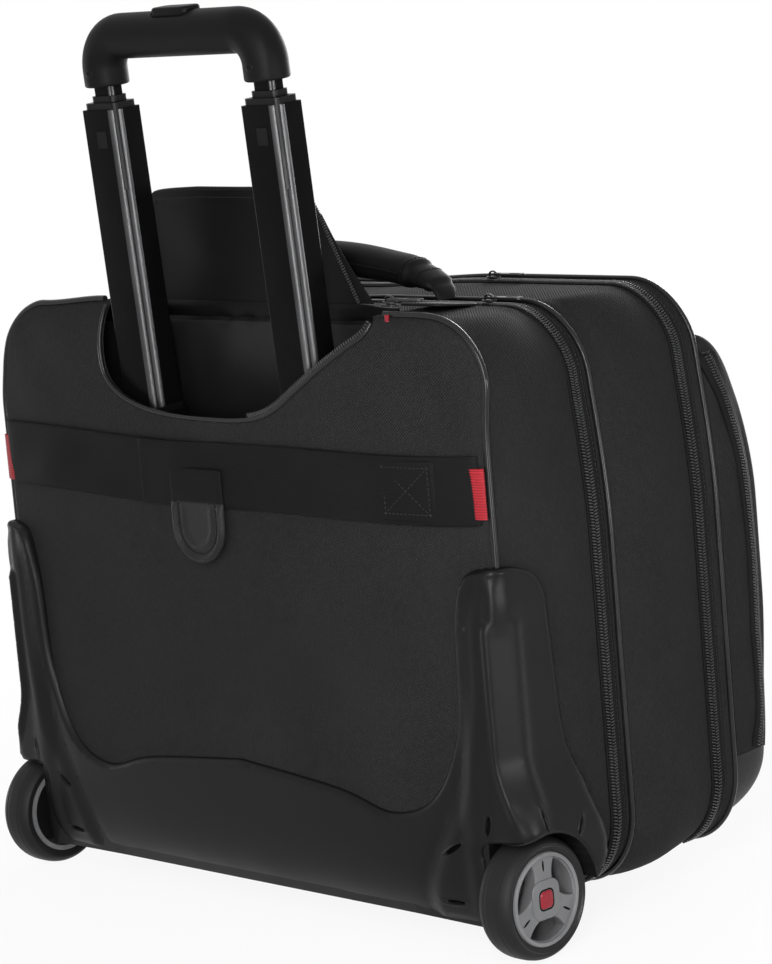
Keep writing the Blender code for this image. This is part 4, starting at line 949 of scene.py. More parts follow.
def strap_rise(x):
    """The worn strap sits a little high, most of all at its left."""
    return 3.2 + 2.6 * smooth(-x, -40, 180) + 0.7 * np.sin(x / 34.0)


def strap_piece(name, low, high, lap, node):
    flat, faces, depth = fill(box(low, high, STRAP_LOW, STRAP_HIGH), 4.5, rows=(0.7, 1.8))
    x, z = flat.T
    ripple = 0.7 * np.sin(x / 27.0 + z / 19.0) + 0.45 * np.sin(x / 9.5 - z / 14.0)
    base = panel_back(x, z) - (0.6 + lap * fade(x, -29.0, -13.0))
    lifted = z + strap_rise(x)
    outer = spots(x, base - 2.2 - ripple * smooth(depth, 0, 6) + 0.8 * edge_drop(depth, 1.4), lifted)
    inner = spots(x, base + 0.2, lifted)
    made = piece(name, [shell(faces, outer, inner)], WEBBING, "case", replaces=(node,))


strap_piece("strap_band_left", -211.0, -43.0, 0.0, "strap_left")
strap_piece("strap_band_right", -65.0, 211.0, 1.8, "strap_right")

PATCH_X, PATCH_WIDTH, PATCH_Z, PATCH_HEIGHT, SEWN = 142.0, 41.0, 259.5, 36.0, 4.2
far_x, far_z = PATCH_X + PATCH_WIDTH, PATCH_Z + PATCH_HEIGHT
flat, faces, depth = fill(box(PATCH_X, far_x, PATCH_Z, far_z), 3.0, rows=(0.6, 1.5))
x, z = flat.T
u, v = (x - PATCH_X) / PATCH_WIDTH, (z - PATCH_Z) / PATCH_HEIGHT
cross = np.minimum(np.abs(u - v), np.abs(u + v - 1)) * 30
dent = 0.3 * bell(cross, 0.0, 1.6) + 0.3 * bell(depth, SEWN, 1.2)
base = panel_back(x, z) - 1.8
z = z + strap_rise(x)
patch = shell(faces, spots(x, base - 2.0 + dent + 0.9 * edge_drop(depth, 1.2), z), spots(x, base + 0.6, z))
piece("strap_patch", [patch], WEBBING, "case")
corners = box(PATCH_X + SEWN, far_x - SEWN, PATCH_Z + SEWN, far_z - SEWN)
parts = []
for a, b in ((0, 1), (1, 2), (2, 3), (3, 0), (0, 2), (1, 3)):
    x, z = resample([corners[a], corners[b]], 3.0).T
    row = spots(x, panel_back(x, z) - 3.5, z + strap_rise(x))
    parts.append(stitches(row, BACKWARD, 2.3, 0.8, 0.8))
piece("patch_stitches", parts, THREAD, "case")

# Each ribbon is folded round the rear seam beside the strap's end
section = smooth_path([(205.5, -6.6), (208.5, -6.4), (211.5, -5.8), (213.8, -5.0), (215.2, -4.2)], 6)
levels = np.concatenate([[264.3], np.arange(265.0, 293.8, 0.8), [294.2]])
rib = 0.35 * np.abs(np.sin(levels * math.pi / 1.6))
rib[[0, -1]] = 0.0
outer = section - left_of(section) * (0.9 + rib)[:, None, None]
for name, side in SIDES[::-1]:
    skins = [spots(side * skin[..., 0], skin[..., 1], levels[:, None]) for skin in (outer, section)]
    piece("ribbon_" + name, [grid_shell(*skins)], RIBBON, "case")

# Leather tab hanging from the strap
TAB_X, TAB_HALF, TAB_Z, TAB_SEAM = -13.5, 23.5, 248.5, 6.6


def tab_line(half, top):
    """Outline of the tab from the right, round below and up the left."""
    bow = arc(half, np.linspace(0, -math.pi, 25), (TAB_X, TAB_Z))
    return np.vstack([[(TAB_X + half, top)], bow, [(TAB_X - half, top)]])


loop = np.roll(tab_line(TAB_HALF, 285.0), 1, axis=0)
flat, faces, depth = fill(loop, 2.2, rows=(0.5, 1.1, 1.9, 3.0, 4.4, 5.6))
x, z = flat.T
side = line_distance(flat, tab_line(TAB_HALF, 300.0))
ridge = 1.6 * bell(side, 3.0, 1.7) - 0.6 * bell(side, TAB_SEAM, 1.0) + 0.9 * bell(side, 10.5, 1.3)
ridge *= fade(z, 258, 264)
roll = 1.1 * edge_drop(depth, 1.6 + 2.4 * smooth(z, 258, 264)) + 0.3 * smooth(z, 258, 266)
curl = 0.6 * smooth(255 - z, 0, 30)
skin = shell(faces, spots(x, -23.2 - ridge + roll - curl, z), spots(x, -21.2 - curl, z))
tab = piece("leather_tab", [skin], LEATHER, "tab", replaces=("strap_tab",))
second_finish(tab, WEBBING, lambda face: face.center.z > 0.2635)
x, z = resample(tab_line(TAB_HALF - TAB_SEAM, 262.0), 3.0).T
row = spots(x, -23.25 - 0.6 * smooth(255 - z, 0, 30), z)
piece("tab_stitches", [stitches(row, BACKWARD, 2.3, 0.7, 0.9)], THREAD, "tab")

# Flap of the mouth, standing behind the tubes


def on_flap(x, z, out):
    """Points on the bent flap or off it."""
    ripple = 0.9 * np.sin(x / 15.0 + z / 22.0) * smooth(z, 8, 40)
    return spots(x, 2.2 * smooth(z, 20, 72) * np.sin((x + 40) / 46.0) + ripple + out, z)


right = smooth_path([(95, -3.5), (63, 39.6), (43, 63.4), (27, 71.3)], 8)
left = smooth_path([(-57, 71.5), (-90, 69.8), (-98.5, 67.0), (-101.5, 58.0), (-102, -3.5)], 8)
flat, faces, depth = fill(np.vstack([right, left]), 4.0, rows=(0.7, 1.8, 3.4, 5.0, 6.6, 8.2))
x, z = flat.T
hem = line_distance(flat, np.vstack([right[-2:], left[:12]]))
ridge = 0.7 * smooth(hem, 0.0, 1.2) * fade(hem, 7.0, 8.2) - 0.5 * bell(hem, 9.6, 1.0)
roll = 0.9 * edge_drop(depth, 1.5)
skin = shell(faces, on_flap(x, z, roll - ridge - 1.2), on_flap(x, z, 1.2 + ridge * 0.6 - roll))
flap = piece("flap_cloth", [skin], LINING, "flap", FLAP, replaces=("handle_flap",))
outline = resample(np.vstack([right[-4:], left[:14]]), 3.1)
parts = []
for gap in (2.2, 6.9):
    x, z = (outline + left_of(outline) * gap)[2:-2].T
    for out in (-1.75, 1.55):
        row = on_flap(x, z, out)
        even = np.linalg.norm(np.gradient(row, axis=0), axis=1) < 4.5
        parts.append(beads(row[even], *(v[even] for v in frames(row, BACKWARD)), 2.4, 0.6, 0.6))
piece("flap_stitches", parts, THREAD, "flap", FLAP)
border = [
    (92.0, 0.5), (104.0, 0.5), (95.0, 9.0), (80.0, 24.0), (64.5, 40.5), (52.0, 55.0), (50.0, 55.0),
    (62.0, 39.8)]
flat, faces, depth = fill(border, 3.0, rows=(0.8,))
roll = 0.5 * (1 - np.clip(depth / 1.2, 0, 1)) ** 2
skin = shell(faces, on_flap(*flat.T, roll - 0.6), on_flap(*flat.T, 1.0 - roll))
piece("flap_border", [skin], TAPE, "flap", FLAP)
for name, line in (("right", right), ("left", left[::-1])):
    x, z = resample(line, 1.9).T
    keep = (z > 1.0) & (z < 62.0) & ((x > 0) | (z < 52.0))
    row = on_flap(x[keep], z[keep], -1.0)
    piece("flap_zip_" + name, [teeth(row, BACKWARD, 3.0, 1.35, 1.8)], COIL, "flap", FLAP)

# Padded carry handle with its sleeve, bound ends and webbing legs


def soft_circle(count):
    """Circle pressed towards a diamond."""
    turns = arc(1.0, full_turn(count))
    return np.copysign(np.abs(turns) ** 0.8, turns)


side_path = [
    (141.0, -2.6), (140.8, 0.0), (139.0, 3.0), (134.5, 5.8), (128.0, 8.6), (119.0, 11.4), (112.0, 13.2),
    (102.0, 15.2), (60.0, 20.0)]
spine = smooth_path(side_path + [(0.0, 21.8)] + [(-x, z) for x, z in reversed(side_path)], 8)
x, z = resample(spine, 1.5).T
reach = np.abs(x)
sleeve = fade(reach, 116.8, 118.6)
collar = fade(reach, 134.6, 136.4) * (1 - sleeve)
# The legs are cut back on the side to which the handle falls
cut = 10.5 - np.minimum(10.5, 6.0 + 0.5 * z)
wide = 10.5 - cut / 2 + 2.2 * sleeve + 1.4 * collar
high = 2.4 + sleeve * (7.9 - 1.5 * smooth(reach, 50, 116)) + collar * (4.2 - 1.8 * smooth(reach, 118, 135))
above = frames(spots(x, 0.0, z), BACKWARD)[1]
p = spots(x, -cut / 2, z)
skin = strip(p, wide[:, None] * FORWARD, high[:, None] * above, soft_circle(28))
handle = piece("carry_padding", [skin], SLEEVE, "carry", CARRY, ("carry_handle",), 60)
keep = reach < 114
parts = [tube(p[keep] + out * FORWARD, FORWARD, above[keep], 0.9, 6) for out in (12.7, -12.7)]
piece("carry_seams", parts, SLEEVE, "carry", CARRY)
parts = []
u, v = soft_circle(36).T[..., None]
for place in (-125.0, -114.0, 114.0, 125.0):
    k = int(np.argmin(np.abs(x - place)))
    row = p[k] + (wide[k] + 0.1) * u * FORWARD + (high[k] + 0.1) * v * above[k]
    ahead, out = loop_ahead(row), unit(row - p[k])
    parts.append(beads(row, ahead, np.cross(ahead, out), out, 1.9, 0.7, 0.7))
piece("carry_stitches", parts, SLEEVE, "carry", CARRY)

for name, side in SIDES:
    middle = (side * 132.0, 0.0)
    prism("anchor_" + name, [rounded_rect(34, 36, 5, middle)], (0.1, 1.8), "Z", LEATHER, "case",
          ANCHOR, 0.6, ("handle_anchor_" + name,))
    row = spots(*resample(rounded_rect(28.5, 30.5, 3, middle), 2.9).T, 1.85)
    sewn = stitches(row, (0, 0, 1), 2.2, 0.7, 0.6)
    piece("anchor_stitches_" + name, [sewn], THREAD, "case", ANCHOR)

# Trolley tubes with chamfered, grooved corners


def tube_outline(width, depth, cut, radius=1.4):
    """Section of a tube with two opposite corners cut off."""
    chamfer = np.array([(width / 2 - cut, depth / 2), (width / 2, depth / 2 - cut)])
    rounded = arc(radius, np.linspace(math.pi / 2, 0, 6), (width / 2 - radius, depth / 2 - radius))
    corners = [chamfer * (1, -1), rounded[::-1], chamfer * (-1, 1), (rounded * (-1, -1))[::-1]]
    return np.vstack(corners)


def tube_ribs(width, depth, cut, groove):
    """Two rounded ribs side by side along each cut corner."""
    a, b = np.array([width / 2 - cut, depth / 2]), np.array([width / 2, depth / 2 - cut])
    ahead, out = unit(b - a), unit((1, 1))
    rib = (np.linalg.norm(b - a) - groove) / 2
    t = np.linspace(-1, 1, 15)
    along = np.append(t, (1, -1))[:, None] * rib / 2
    loops = []
    for turn in ((1, -1), (-1, 1)):
        for middle, tip in ((a + ahead * rib / 2, 0.14), (b - ahead * rib / 2, 0.0)):
            rise = 0.35 + rib * (0.11 - 0.11 * t * t + tip * (t + 1) / 2)
            loops.append((middle + ahead * along + out * np.append(rise, (-0.3, -0.3))[:, None]) * turn)
    return loops


STAGES = (
    ("stage1", "stage_1", (31.0, 21.4), 6.8, 0.7, 235.3, 508.0),
    ("stage2", "stage_2", (23.6, 15.9), 4.8, 0.7, 252.3, 512.0),
    ("stage3", "grip_stage", (16.2, 10.0), 2.6, 0.5, 269.3, 530.0))
TUBE_BACK = 21.4 / 2
PIN = [(0.05, 0.04), (1.7, 0.04), (2.0, 0.07), (2.6, 0.07), (2.9, 0.02), (2.9, -0.8), (0.05, -0.8)]
for name, side in SIDES:
    at = (side * TUBE_X, 0.0, 0.0)
    for stage, body, size, cut, groove, low, high in STAGES:
        bore = tube_outline(size[0] - 2.4, size[1] - 2.4, cut - 0.3)[::-1]
        skin = moved(extruded([tube_outline(*size, cut), bore], low, high), at)
        piece(stage + "_skin_" + name, [skin], TUBE, body, TROLLEY, (stage + "_tube_" + name,), 25)
        ribs = [moved(extruded([loop], low + 0.3, high - 0.3), at) for loop in tube_ribs(*size, cut, groove)]
        piece(stage + "_ribs_" + name, ribs, TUBE_EDGE, body, TROLLEY, crease=40)
    middle = (side * TUBE_X, 489.5)
    # The black ring round the catch is painted shade for the gap between catch and window
    surround = [rounded_rect(10.2, 11.6, 0.9, middle), rounded_rect(9.2, 10.6, 0.6, middle)]
    catch = [rounded_rect(9.0, 10.4, 0.6, middle)]
    for part, loops, mat, rise in (("rim", surround, BLACK_SHADE, 0.06), ("pad", catch, GRIP, 0.12)):
        points, faces = extruded(loops, TUBE_BACK - 0.6, TUBE_BACK + rise)
        laid_back = points[:, [0, 2, 1]] * (1, -1, 1)
        piece("catch_%s_%s" % (part, name), [(laid_back, faces)], mat, "stage_1", TROLLEY)
    place = TROLLEY @ Matrix.Translation((side * (TUBE_X + 15.5), 0, 454))
    # The pin hole is a black dimple: painted shade in the hole
    pin = turned([(radius, side * out) for radius, out in PIN], 24)
    piece("pin_hole_" + name, [pin], BLACK_SHADE, "stage_1", place)

# Grip with its button, the gap round the button and screws
GRIP_Z, GRIP_RADIUS, GRIP_BEND = 552.0, 14.0, 20.0
bend = arc(GRIP_BEND, np.linspace(math.pi, math.pi / 2, 15), (GRIP_BEND - TUBE_X, GRIP_Z - GRIP_BEND))
foot = [(-TUBE_X, z) for z in (522.0, 522.6, 523.6, 526.0, 529.0)]
path = np.vstack([foot, bend, spots(np.linspace(-48, 0, 17), GRIP_Z)])
x, z = np.vstack([path, mirrored(path[:-1])[::-1]]).T
p = spots(x, 0.0, z)
run = run_along(p)
radius = GRIP_RADIUS - 1.3 * edge_drop(np.minimum(run, run[-1] - run), 1.6)
bar = tube(p, np.cross(unit(np.gradient(p, axis=0)), FORWARD), FORWARD, radius, 40)
piece("grip_bar", [bar], GRIP, "grip_stage", TROLLEY, replaces=("grip",))
prism("button_key", [rounded_rect(33, 16, 5.7, steps=10)], (554.8, 568.4), "Z", GRIP, "release",
      TROLLEY, 1.9, ("release_button",), 5)
# A thin black ring round the button: painted shade for the gap
x, y = rounded_rect(34.2, 17.2, 6.3, steps=10).T
lift = np.sqrt(np.maximum(GRIP_RADIUS ** 2 - y ** 2, 0))
row = spots(x, y, GRIP_Z + lift + 0.05)
out = unit(spots(0.0, y, lift))
gap = tube(row, out, np.cross(out, loop_ahead(row)), 0.45, 6, True)
piece("button_gap", [gap], BLACK_SHADE, "grip_stage", TROLLEY)
SCREW = [(0.05, 0.1), (0.7, 0.12), (1.9, 0.05), (2.2, 0.3), (2.6, 0.25), (2.9, -0.1), (2.9, -0.8), (0.05, -0.8)]
BLOCK = [(0, 1, 3, 2), (4, 6, 7, 5), (0, 4, 5, 1), (2, 3, 7, 6), (0, 2, 6, 4), (1, 5, 7, 3)]
slots = [([(x, y, z) for x in (0.0, 0.22) for z in (-high, high) for y in (-wide, wide)], BLOCK)
         for wide, high in ((1.5, 0.375), (0.375, 1.5))]
for name, side in SIDES:
    place = TROLLEY @ Matrix.Translation((side * TUBE_X, -13.75, 531.0))
    place = place @ Matrix.Rotation(math.radians(-90), 4, "Z")
    piece("grip_screw_" + name, [turned(SCREW, 24)], COLLAR, "grip_stage", place)
    # Black cross in each screw head: painted shade in its slots
    piece("grip_screw_cross_" + name, slots, BLACK_SHADE, "grip_stage", place)

# Wheels: turned pieces as (radius, distance outward), then flat ones with their ends outward
section = [
    (28.6, -10.5), (30.0, -11.0), (32.4, -11.9), (33.6, -11.6), (35.2, -9.8), (36.3, -7.4), (36.9, -4.4),
    (37.0, 0.0)]
tyre = smooth_path(section + [(radius, -out) for radius, out in reversed(section[:-1])], 5)
tyre[:, 0] -= 0.3 * bell(np.abs(tyre[:, 1]), 5.2, 0.5)
TURNED = (
    ("tyre_line_", 128, PIPING, "tyre", [
        (31.0, 11.35), (31.3, 11.75), (31.9, 12.0), (32.3, 11.7), (32.3, 11.0), (31.0, 10.8)]),
    ("hub_rim_", 128, HUB, "hub_plastic", [
        (25.2, -11.0), (25.2, 10.6), (25.6, 11.6), (26.6, 12.0), (27.8, 11.6), (28.3, 10.6), (28.3, -11.0)]),
    ("hub_backing_", 64, COLLAR, "hub_plastic", [(8.8, -10.4), (25.4, -10.4), (25.4, -9.4), (8.8, -9.4)]),
    ("hub_boss_", 48, HUB, "hub_plastic", [(4.4, -11.0), (9.0, -11.0), (9.0, 2.0), (4.4, 2.0)]))
# Each of the three windows is where the disc's inner circle meets a lens
REACH, AWAY, LENS = 24.7, 28.0, 17.0
chord = (REACH ** 2 - LENS ** 2 + AWAY ** 2) / (2 * AWAY)
rise = math.sqrt(REACH ** 2 - chord ** 2)
inner_turn, outer_turn = math.atan2(rise, AWAY - chord), math.atan2(rise, chord)
disc = [arc(27.4, full_turn(96))]
slit = arc(1.0, full_turn(28)) * (3.4, 0.75) + (20.2, 0.0)
leaves = []
for k in range(3):
    angle = math.radians(-90 + 120 * k)
    inward = angle + math.pi + inner_turn * np.linspace(-1, 1, 25)
    outward = angle + outer_turn * np.linspace(-1, 1, 17)[1:-1]
    disc.append(np.vstack([arc(LENS, inward, arc(AWAY, angle)), arc(REACH, outward)]))
    angle = math.radians(90 + 120 * k)
    leaves.append(slit @ [(math.cos(angle), math.sin(angle)), (-math.sin(angle), math.cos(angle))])
FLAT = (
    ("hub_disc_", disc, (1.0, 10.2), HUB, "hub_plastic", 0.9, "hub_", 3),
    ("hub_plate_", [rounded_rect(23.5, 23.5, 7.0)], (9.6, 11.1), HUB, "hub_plastic", 0.6, "", 3),
    # Flat black in the groove round the cap: painted shade
    ("hub_groove_", [rounded_rect(13.0, 13.0, 3.8), rounded_rect(11.0, 11.0, 3.0)], (10.4, 11.16), BLACK_SHADE,
     "hub_plastic", 0.05, "", 3),
    ("cap_plate_", [rounded_rect(10.8, 10.8, 3.0, steps=10)], (9.0, 11.9), CAP,
     "cap_plastic", 1.1, "hub_cap_", 4))
for name, side in SIDES:
    body = "wheel_" + name
    place = CASE @ Matrix.Translation((side * WHEEL_X, WHEEL_Y, WHEEL_Z))
    piece("tyre_skin_" + name, [turned(tyre, 128)], TYRE, body, place, ("tyre_" + name,))
    for part, count, mat, slot, profile in TURNED:
        skin = turned([(radius, side * out) for radius, out in profile], count)
        piece(part + name, [skin], mat, body, place)
    for part, loops, (low, high), mat, slot, round_off, node, steps in FLAT:
        prism(part + name, loops, (side * low, side * high), "X", mat, body, place, round_off,
              (node + name,) if node else (), steps)
    # Black slits laid on the spokes: painted shade in the slits
    for k, leaf in enumerate(leaves):
        prism("spoke_slit_%s_%d" % (name, k), [leaf], (side * 9.6, side * 10.28), "X", BLACK_SHADE, body,
              place, 0.04)

# Skin over the wheel base moulding: soft edges, ridges round the wheels and slots
REAR_HALF, TURN = 207.5, 12.0
BEND = TURN * math.pi / 2


def base_half(z):
    slim = 219.5 + 2.0 * smooth(z, 193.5, 217.5)
    return slim + (233.5 - slim) * fade(z, 72, 125)


def base_back(x, z):
    return panel_back(np.clip(x, -207, 207), z) - 3.3 - 3.5 * smooth(np.abs(x), 182, 198)


def base_point(q, z):
    """Point on the moulding: q runs along the rear and on round the corners to the flanks."""
    inner = base_half(z) - TURN
    far, sign = np.abs(q), np.sign(q)
    x = np.clip(q / REAR_HALF, -1, 1) * inner
    turn = np.clip((far - REAR_HALF) / BEND, 0, 1) * math.pi / 2
    px = np.where(far > REAR_HALF, sign * (inner + TURN * np.sin(turn)), x)
    py = np.where(far > REAR_HALF, base_back(inner, z) + TURN - TURN * np.cos(turn), base_back(x, z))
    py = py + np.maximum(far - REAR_HALF - BEND, 0)
    solid_end = np.interp(z, (40.6, 43, 52, 64, 84, 115, 165, 209), (45.2, 48, 53.5, 54, 47, 40, 37, 33))
    over = smooth(py, solid_end + 0.5, solid_end + 13.0) * fade(z, 112, 125)
    return spots(px * (1 - over) + sign * (218.0 + low_corner(z)) * over, py, z)


def base_normal(q, z):
    dq = base_point(q + 0.4, z) - base_point(q - 0.4, z)
    dz = base_point(q, z + 0.4) - base_point(q, z - 0.4)
    return unit(np.cross(dq, dz))


def on_rear(line):
    """Places (q, Z) of points (X, Z) seen from the rear."""
    x, z = np.array(line, float).T
    inner = base_half(z) - TURN
    corner = BEND * np.arcsin(np.clip((x - inner) / TURN, 0.0, 1.0)) / (math.pi / 2)
    return spots(np.minimum(x / inner * REAR_HALF, REAR_HALF) + corner, z)


def on_flank(line):
    """Places (q, Z) of points (Y, Z) seen from the side."""
    y, z = np.array(line, float).T
    return spots(REAR_HALF + BEND + y - (base_back(base_half(z) - TURN, z) + TURN), z)


wave = on_rear(smooth_path([
    (0, 101), (85, 92.6), (129, 82.6), (162.6, 95.6), (182.8, 136), (187.8, 200), (197, 229.6),
    (214, 236)], 8))
side_edge = on_flank(smooth_path([
    (4, 235.5), (23, 228.5), (33, 209.5), (37, 165), (40, 135), (46.5, 108), (58.5, 83), (65, 67), (66.5, 57),
    (64, 49.5), (57, 46), (46.5, 45.0)], 6))
arch = on_flank(arc(39.7, np.radians(np.linspace(10, 97, 26)), (WHEEL_Y, WHEEL_Z)))
lower = on_rear([
    (203.0, 71.8), (198.0, 68.0), (199.0, 62.0), (199.6, 54.0), (198.0, 40.0), (193.0, 27.0), (187.5, 19.0),
    (185.0, 17.5), (0.0, 17.5)])
half = np.vstack([wave, side_edge, arch, [(REAR_HALF + BEND * 0.5, 74.5), (REAR_HALF, 72.6)], lower])
outline = np.vstack([half, mirrored(half[1:-1])[::-1]])
bubble = on_rear(smooth_path([
    (203, 240), (198, 200), (196, 160), (186, 112), (169, 77), (152, 42), (147, 14)], 6))


def slot_frame(centre, tilt):
    """Middle of a slot, and the directions along and across it."""
    c, s = math.cos(math.radians(tilt)), math.sin(math.radians(tilt))
    return centre[0], np.array([c, s]), np.array([-s, c])


SLOTS = [slot_frame(on_rear([spot]), tilt) for spot, tilt in (
    ((176.2, 66.0), 34), ((172.2, 33.0), 0), ((204.2, 83.0), 68))]
SLOTS += [slot_frame(on_flank([spot]), tilt) for spot, tilt in (((5.0, 84.0), 100), ((34.0, 75.0), 62))]


def both_sides(points):
    return np.stack([points, mirrored(points)], axis=1).reshape(-1, 2)


# Finer points at the slots, along the corners and beside the swell's edge
across_at, along_at = np.meshgrid(np.arange(-2.7, 2.8, 0.45), np.arange(-8.4, 8.5, 0.7))
extra = [both_sides(centre + along * along_at.reshape(-1, 1) + across * across_at.reshape(-1, 1))
         for centre, along, across in SLOTS]
steps = (-9.0, -7.6, -6.4, -5.2, -4.0, -2.8, -1.4, 1.0, 3.0, 5.0, 8.0, 12.0, 16.0, 20.0)
s, v = np.meshgrid(steps, np.arange(80.0, 232.0, 2.0))
extra.append(both_sides(spots(REAR_HALF + BEND / 2 + s, v).reshape(-1, 2)))
line = resample(bubble, 2.2)
for gap in (-2.0, 0.0, 2.0, 4.0, 6.0, 8.0, 10.0, 12.5):
    row = line + left_of(line) * gap
    row = row[row[:, 0] < REAR_HALF + 0.5]
    extra += [row, mirrored(row)]
flat, faces, depth = fill(outline, 4.0, extra, (0.35, 0.9, 1.6, 2.4, 3.6))
q, z = flat.T
far = np.abs(q)
folded = spots(far, z)
# The rear corners swell outside the bubble line
gap = line_distance(folded, bubble)
edge_q = np.interp(z, bubble[::-1, 1], bubble[::-1, 0])
slant = 1 - np.clip((far - edge_q - 6.0) / np.maximum(REAR_HALF + 4.0 - edge_q - 6.0, 8.0), 0, 1)
swell = (0.8 + 2.4 * slant) * smooth(gap, 0.0, 12.0) * fade(z, 205, 228)
rise = np.where(far > edge_q, swell, -0.35 * bell(gap, 1.5, 2.0))
rise *= 1 - 0.75 * smooth(far, REAR_HALF + BEND, REAR_HALF + BEND + 14)
# Flat facets lie on the rounded corners
s = far - REAR_HALF - BEND / 2
turn = np.clip((s - 5.0) / TURN, -0.95, (BEND / 2 - 5.0) / TURN)
facet = TURN / np.cos(turn) - TURN + 0.386 * np.maximum(s - BEND / 2, 0)
rise += facet * smooth(s, -7.8, -2.6) * fade(s, 9.0, 22.0) * smooth(z, 78, 100) * fade(z, 199, 207)
rise += 1.1 * bell(s, -1.0, 2.8) * smooth(z, 199, 207) * fade(z, 222, 231)
dip = np.zeros(len(q))
for centre, along, across in SLOTS:
    off = folded - centre
    shape = np.sqrt((off @ along / 7.6) ** 2 + (off @ across / 1.4) ** 2)
    dip = np.maximum(dip, fade(shape, 0.55, 1.05))
    rise += 0.35 * bell(shape, 1.35, 0.22)
rounding = 3.2 * (1 - np.clip(1 - (1 - np.clip(depth / 2.6, 0, 1)) ** 3, 0, 1) ** (1 / 3.0))
drop = (3.9 + 3.4 * smooth(far, 180, 196)) * edge_drop(line_distance(folded, wave), 5.4)
lift = 0.55 + rise * smooth(depth, 0.5, 6.0) + 0.45 * bell(depth, 2.6, 1.1) * smooth(z, 60, 80)
lift -= np.maximum(rounding, drop) + dip * (rise + 0.35)
surface, normal = base_point(q, z), base_normal(q, z)
sunk = np.minimum(lift - 0.8, -1.2)
skin = shell(faces, surface + normal * lift[:, None], surface + normal * sunk[:, None])
moulding = piece("moulding_skin", [skin], MOULD, "case", crease=60)
# Faces down in the shallow slots are painted black for the shade inside them
in_slot = np.append(dip > 0.35, np.zeros(len(dip), bool))
second_finish(moulding, BLACK_SHADE, lambda face: in_slot[list(face.vertices)].all())

# Sliders and pulls of the four zips
bridge = resample(smooth_path([
    (-3.2, 0, 2.8), (-3.0, 0, 4.4), (-2.2, 0, 5.6), (-0.6, 0, 6.1), (1.0, 0, 5.9), (2.4, 0, 5.0),
    (3.0, 0, 3.9), (3.2, 0, 2.8)], 5), 0.5)
bridge = tube(bridge, np.cross(unit(np.gradient(bridge, axis=0)), FORWARD), FORWARD, 0.5, squeeze=2.2)
leaf = smooth_path([
    (-0.7, 1.9), (0.6, 2.6), (6.0, 2.2), (14.0, 2.7), (22.0, 3.0), (25.4, 2.3), (26.2, 0.0)], 6)
pull = [np.vstack([leaf, -mirrored(leaf[:-1])[::-1]]), rounded_rect(5.6, 2.6, 1.2, (3.6, 0.0)),
        rounded_rect(9.0, 2.8, 1.35, (18.5, 0.0))]
SLIDER = (
    ("low", (9, 7, 2.2), (0.0, 1.1), 0.3), ("top", (9, 6.4, 2.4), (1.9, 3.0), 0.35),
    ("core", (5, 2.4, 1.0), (0.8, 2.2), 0.1))
for name, body, spot, tilt in (
        ("opening", "case", (140.0, 7.0, 384.92), 0), ("rear", "case", (145.0, 86.65, 374.6), 0),
        ("front", "mid_section", (60.0, 182.95, 374.3), 0),
        ("pocket", "front_section", (-120.0, 201.4, 343.0), -90)):
    place = CASE @ Matrix.Translation(spot) @ Matrix.Rotation(math.radians(tilt), 4, "X")
    for part, size, ends, round_off in SLIDER:
        prism("%s_slider_%s" % (name, part), [rounded_rect(*size)], ends, "Z", METAL, body, place,
              round_off, (name + "_zip_slider",) if part == "low" else ())
    piece(name + "_slider_loop", [bridge], METAL, body, place)
    prism(name + "_pull_leaf", pull, (-0.75, 0.75), "Z", METAL, name + "_pull",
          place @ Matrix.Translation((0, 0, 4.2)), 0.35, (name + "_zip_pull",))

# Small red tag sewn in under the slider of the opening
prism("opening_tag", [rounded_rect(3.0, 4.2, 0.6, (148.0, 379.6))], (-5.2, -3.9), "Y", CAP, "case",
      CASE, 0.3)

# Carried-over CAD nodes take the same finishes
FINISH = {
    "base_moulding": MOULD, "tube_bracket": COLLAR, "foot_left": MOULD, "foot_right": MOULD,
    "release_rods": STEEL, "wheel_axle_left": STEEL, "wheel_axle_right": STEEL}
for key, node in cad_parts.items():
    mat = FINISH.get(key)
    if mat is None and ("collar" in key or "glide" in key):
        mat = COLLAR
    elif mat is None and "tube" in key:
        mat = TUBE
    if mat:
        node.data.materials.clear()
        node.data.materials.append(mat)
        for face in node.data.polygons:
            face.material_index = 0

# Floor, light, background and camera


def looked_at(tree):
    """1 for rays of the camera, mirrors and glass, which see a white background."""
    rays = add(tree, "ShaderNodeLightPath").outputs
    direct = maths(tree, "MAXIMUM", rays["Is Camera Ray"], rays["Is Transmission Ray"])
    return maths(tree, "MAXIMUM", direct, rays["Is Glossy Ray"])


def floor_material():
    mat, tree, shader, where = start("pale_floor", (0.92, 0.92, 0.92), 0.75, 0.1)
    tone = tint(tree, noise(tree, where, 6.0), (0.9, 0.9, 0.9), (0.95, 0.95, 0.95))
    tree.links.new(tone, shader.inputs["Base Color"])
    glow = add(tree, "ShaderNodeEmission", {"Color": (1, 1, 1, 1), "Strength": 1.0})
    far = add(tree, "ShaderNodeVectorMath", {0: where}, operation="LENGTH").outputs["Value"]
    seen = maths(tree, "MULTIPLY", looked_at(tree), remap(tree, far, 0.2, 0.75, 0.9, 1.0))
    mix = add(tree, "ShaderNodeMixShader", {0: seen, 1: shader.outputs[0], 2: glow.outputs[0]})
    tree.links.new(mix.outputs[0], tree.nodes["Material Output"].inputs["Surface"])
    return mat


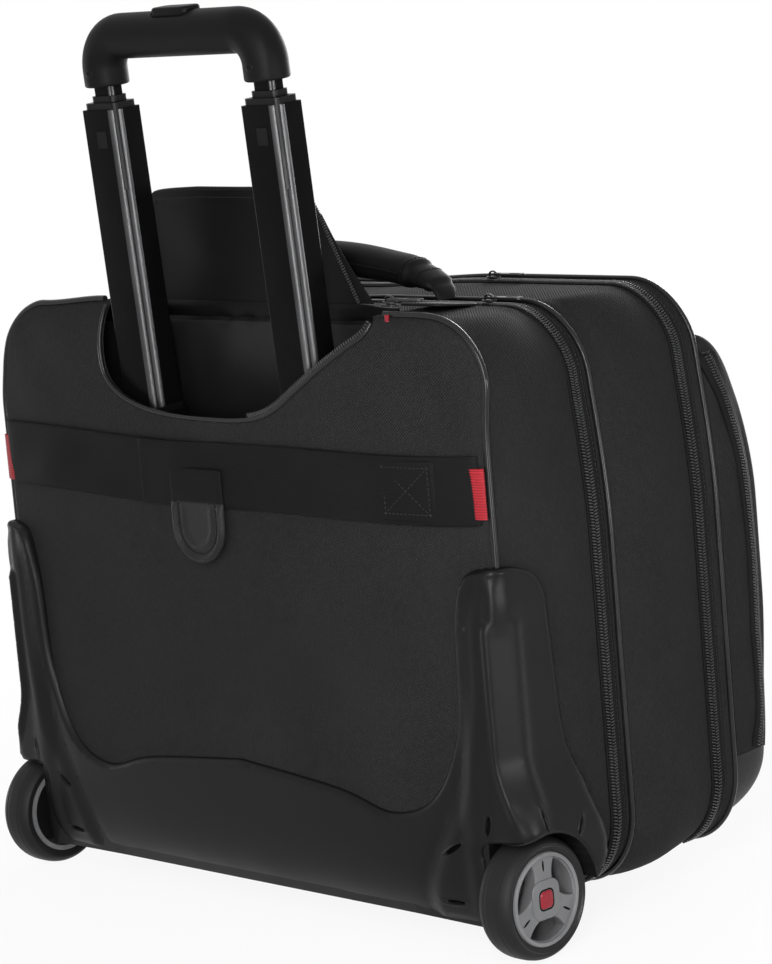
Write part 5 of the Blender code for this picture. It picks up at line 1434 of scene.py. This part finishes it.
def link(name, data):
    obj = bpy.data.objects.new(name, data)
    SCENE.collection.objects.link(obj)
    return obj


mesh = bpy.data.meshes.new("floor")
work = bmesh.new()
bmesh.ops.create_circle(work, cap_ends=True, segments=96, radius=6.0)
work.to_mesh(mesh)
work.free()
mesh.materials.append(floor_material())
floor = link("floor", mesh)

world = bpy.data.worlds.new("studio")
SCENE.world = world
world.use_nodes = True
tree = world.node_tree
back = tree.nodes["Background"]
tree.links.new(remap(tree, looked_at(tree), 0.0, 1.0, 0.30, 1.0), back.inputs["Strength"])
back.inputs["Color"].default_value = (1, 1, 1, 1)


def lamp(name, place, target, size, power):
    light = bpy.data.lights.new(name, "AREA")
    light.shape = "RECTANGLE"
    light.size, light.size_y = size
    light.energy = power
    obj = link(name, light)
    obj.location = place
    obj.rotation_euler = (Vector(target) - Vector(place)).to_track_quat("-Z", "Y").to_euler()


lamp("key", (0.8, -2.2, 0.95), (0, 0, 0.25), (1.4, 1.2), 15.5)
lamp("side", (1.9, 0.02, 0.15), (0, 0, 0.2), (0.7, 0.28), 13)
lamp("far_side", (-1.9, -0.25, 0.15), (0, 0, 0.2), (0.7, 0.28), 3)
lamp("front", (-0.7, 2.2, 0.6), (0, 0, 0.25), (1.4, 1.2), 36)
lamp("top", (-0.3, 0.4, 2.6), (0, 0, 0.2), (1.8, 1.8), 0.5)
lamp("strip", (0.92, -1.03, 0.45), (0, -0.1, 0.4), (0.16, 1.5), 22.5)

camera = bpy.data.cameras.new("camera")
camera.sensor_width = 36
camera.lens = 127.8507
az, el, roll = (math.radians(angle) for angle in (45.1615, 9.6121, -4.9823))
toward = Vector((math.sin(az) * math.cos(el), -math.cos(az) * math.cos(el), math.sin(el)))
across = Vector((math.cos(az), math.sin(az), 0))
above = toward.cross(across)
right = math.cos(roll) * across + math.sin(roll) * above
upward = math.cos(roll) * above - math.sin(roll) * across
turn = Matrix((right, upward, toward)).transposed().to_4x4()
eye = link("camera", camera)
eye.matrix_world = Matrix.Translation((1.54654, -1.51550, 0.61891)) @ turn
SCENE.camera = eye
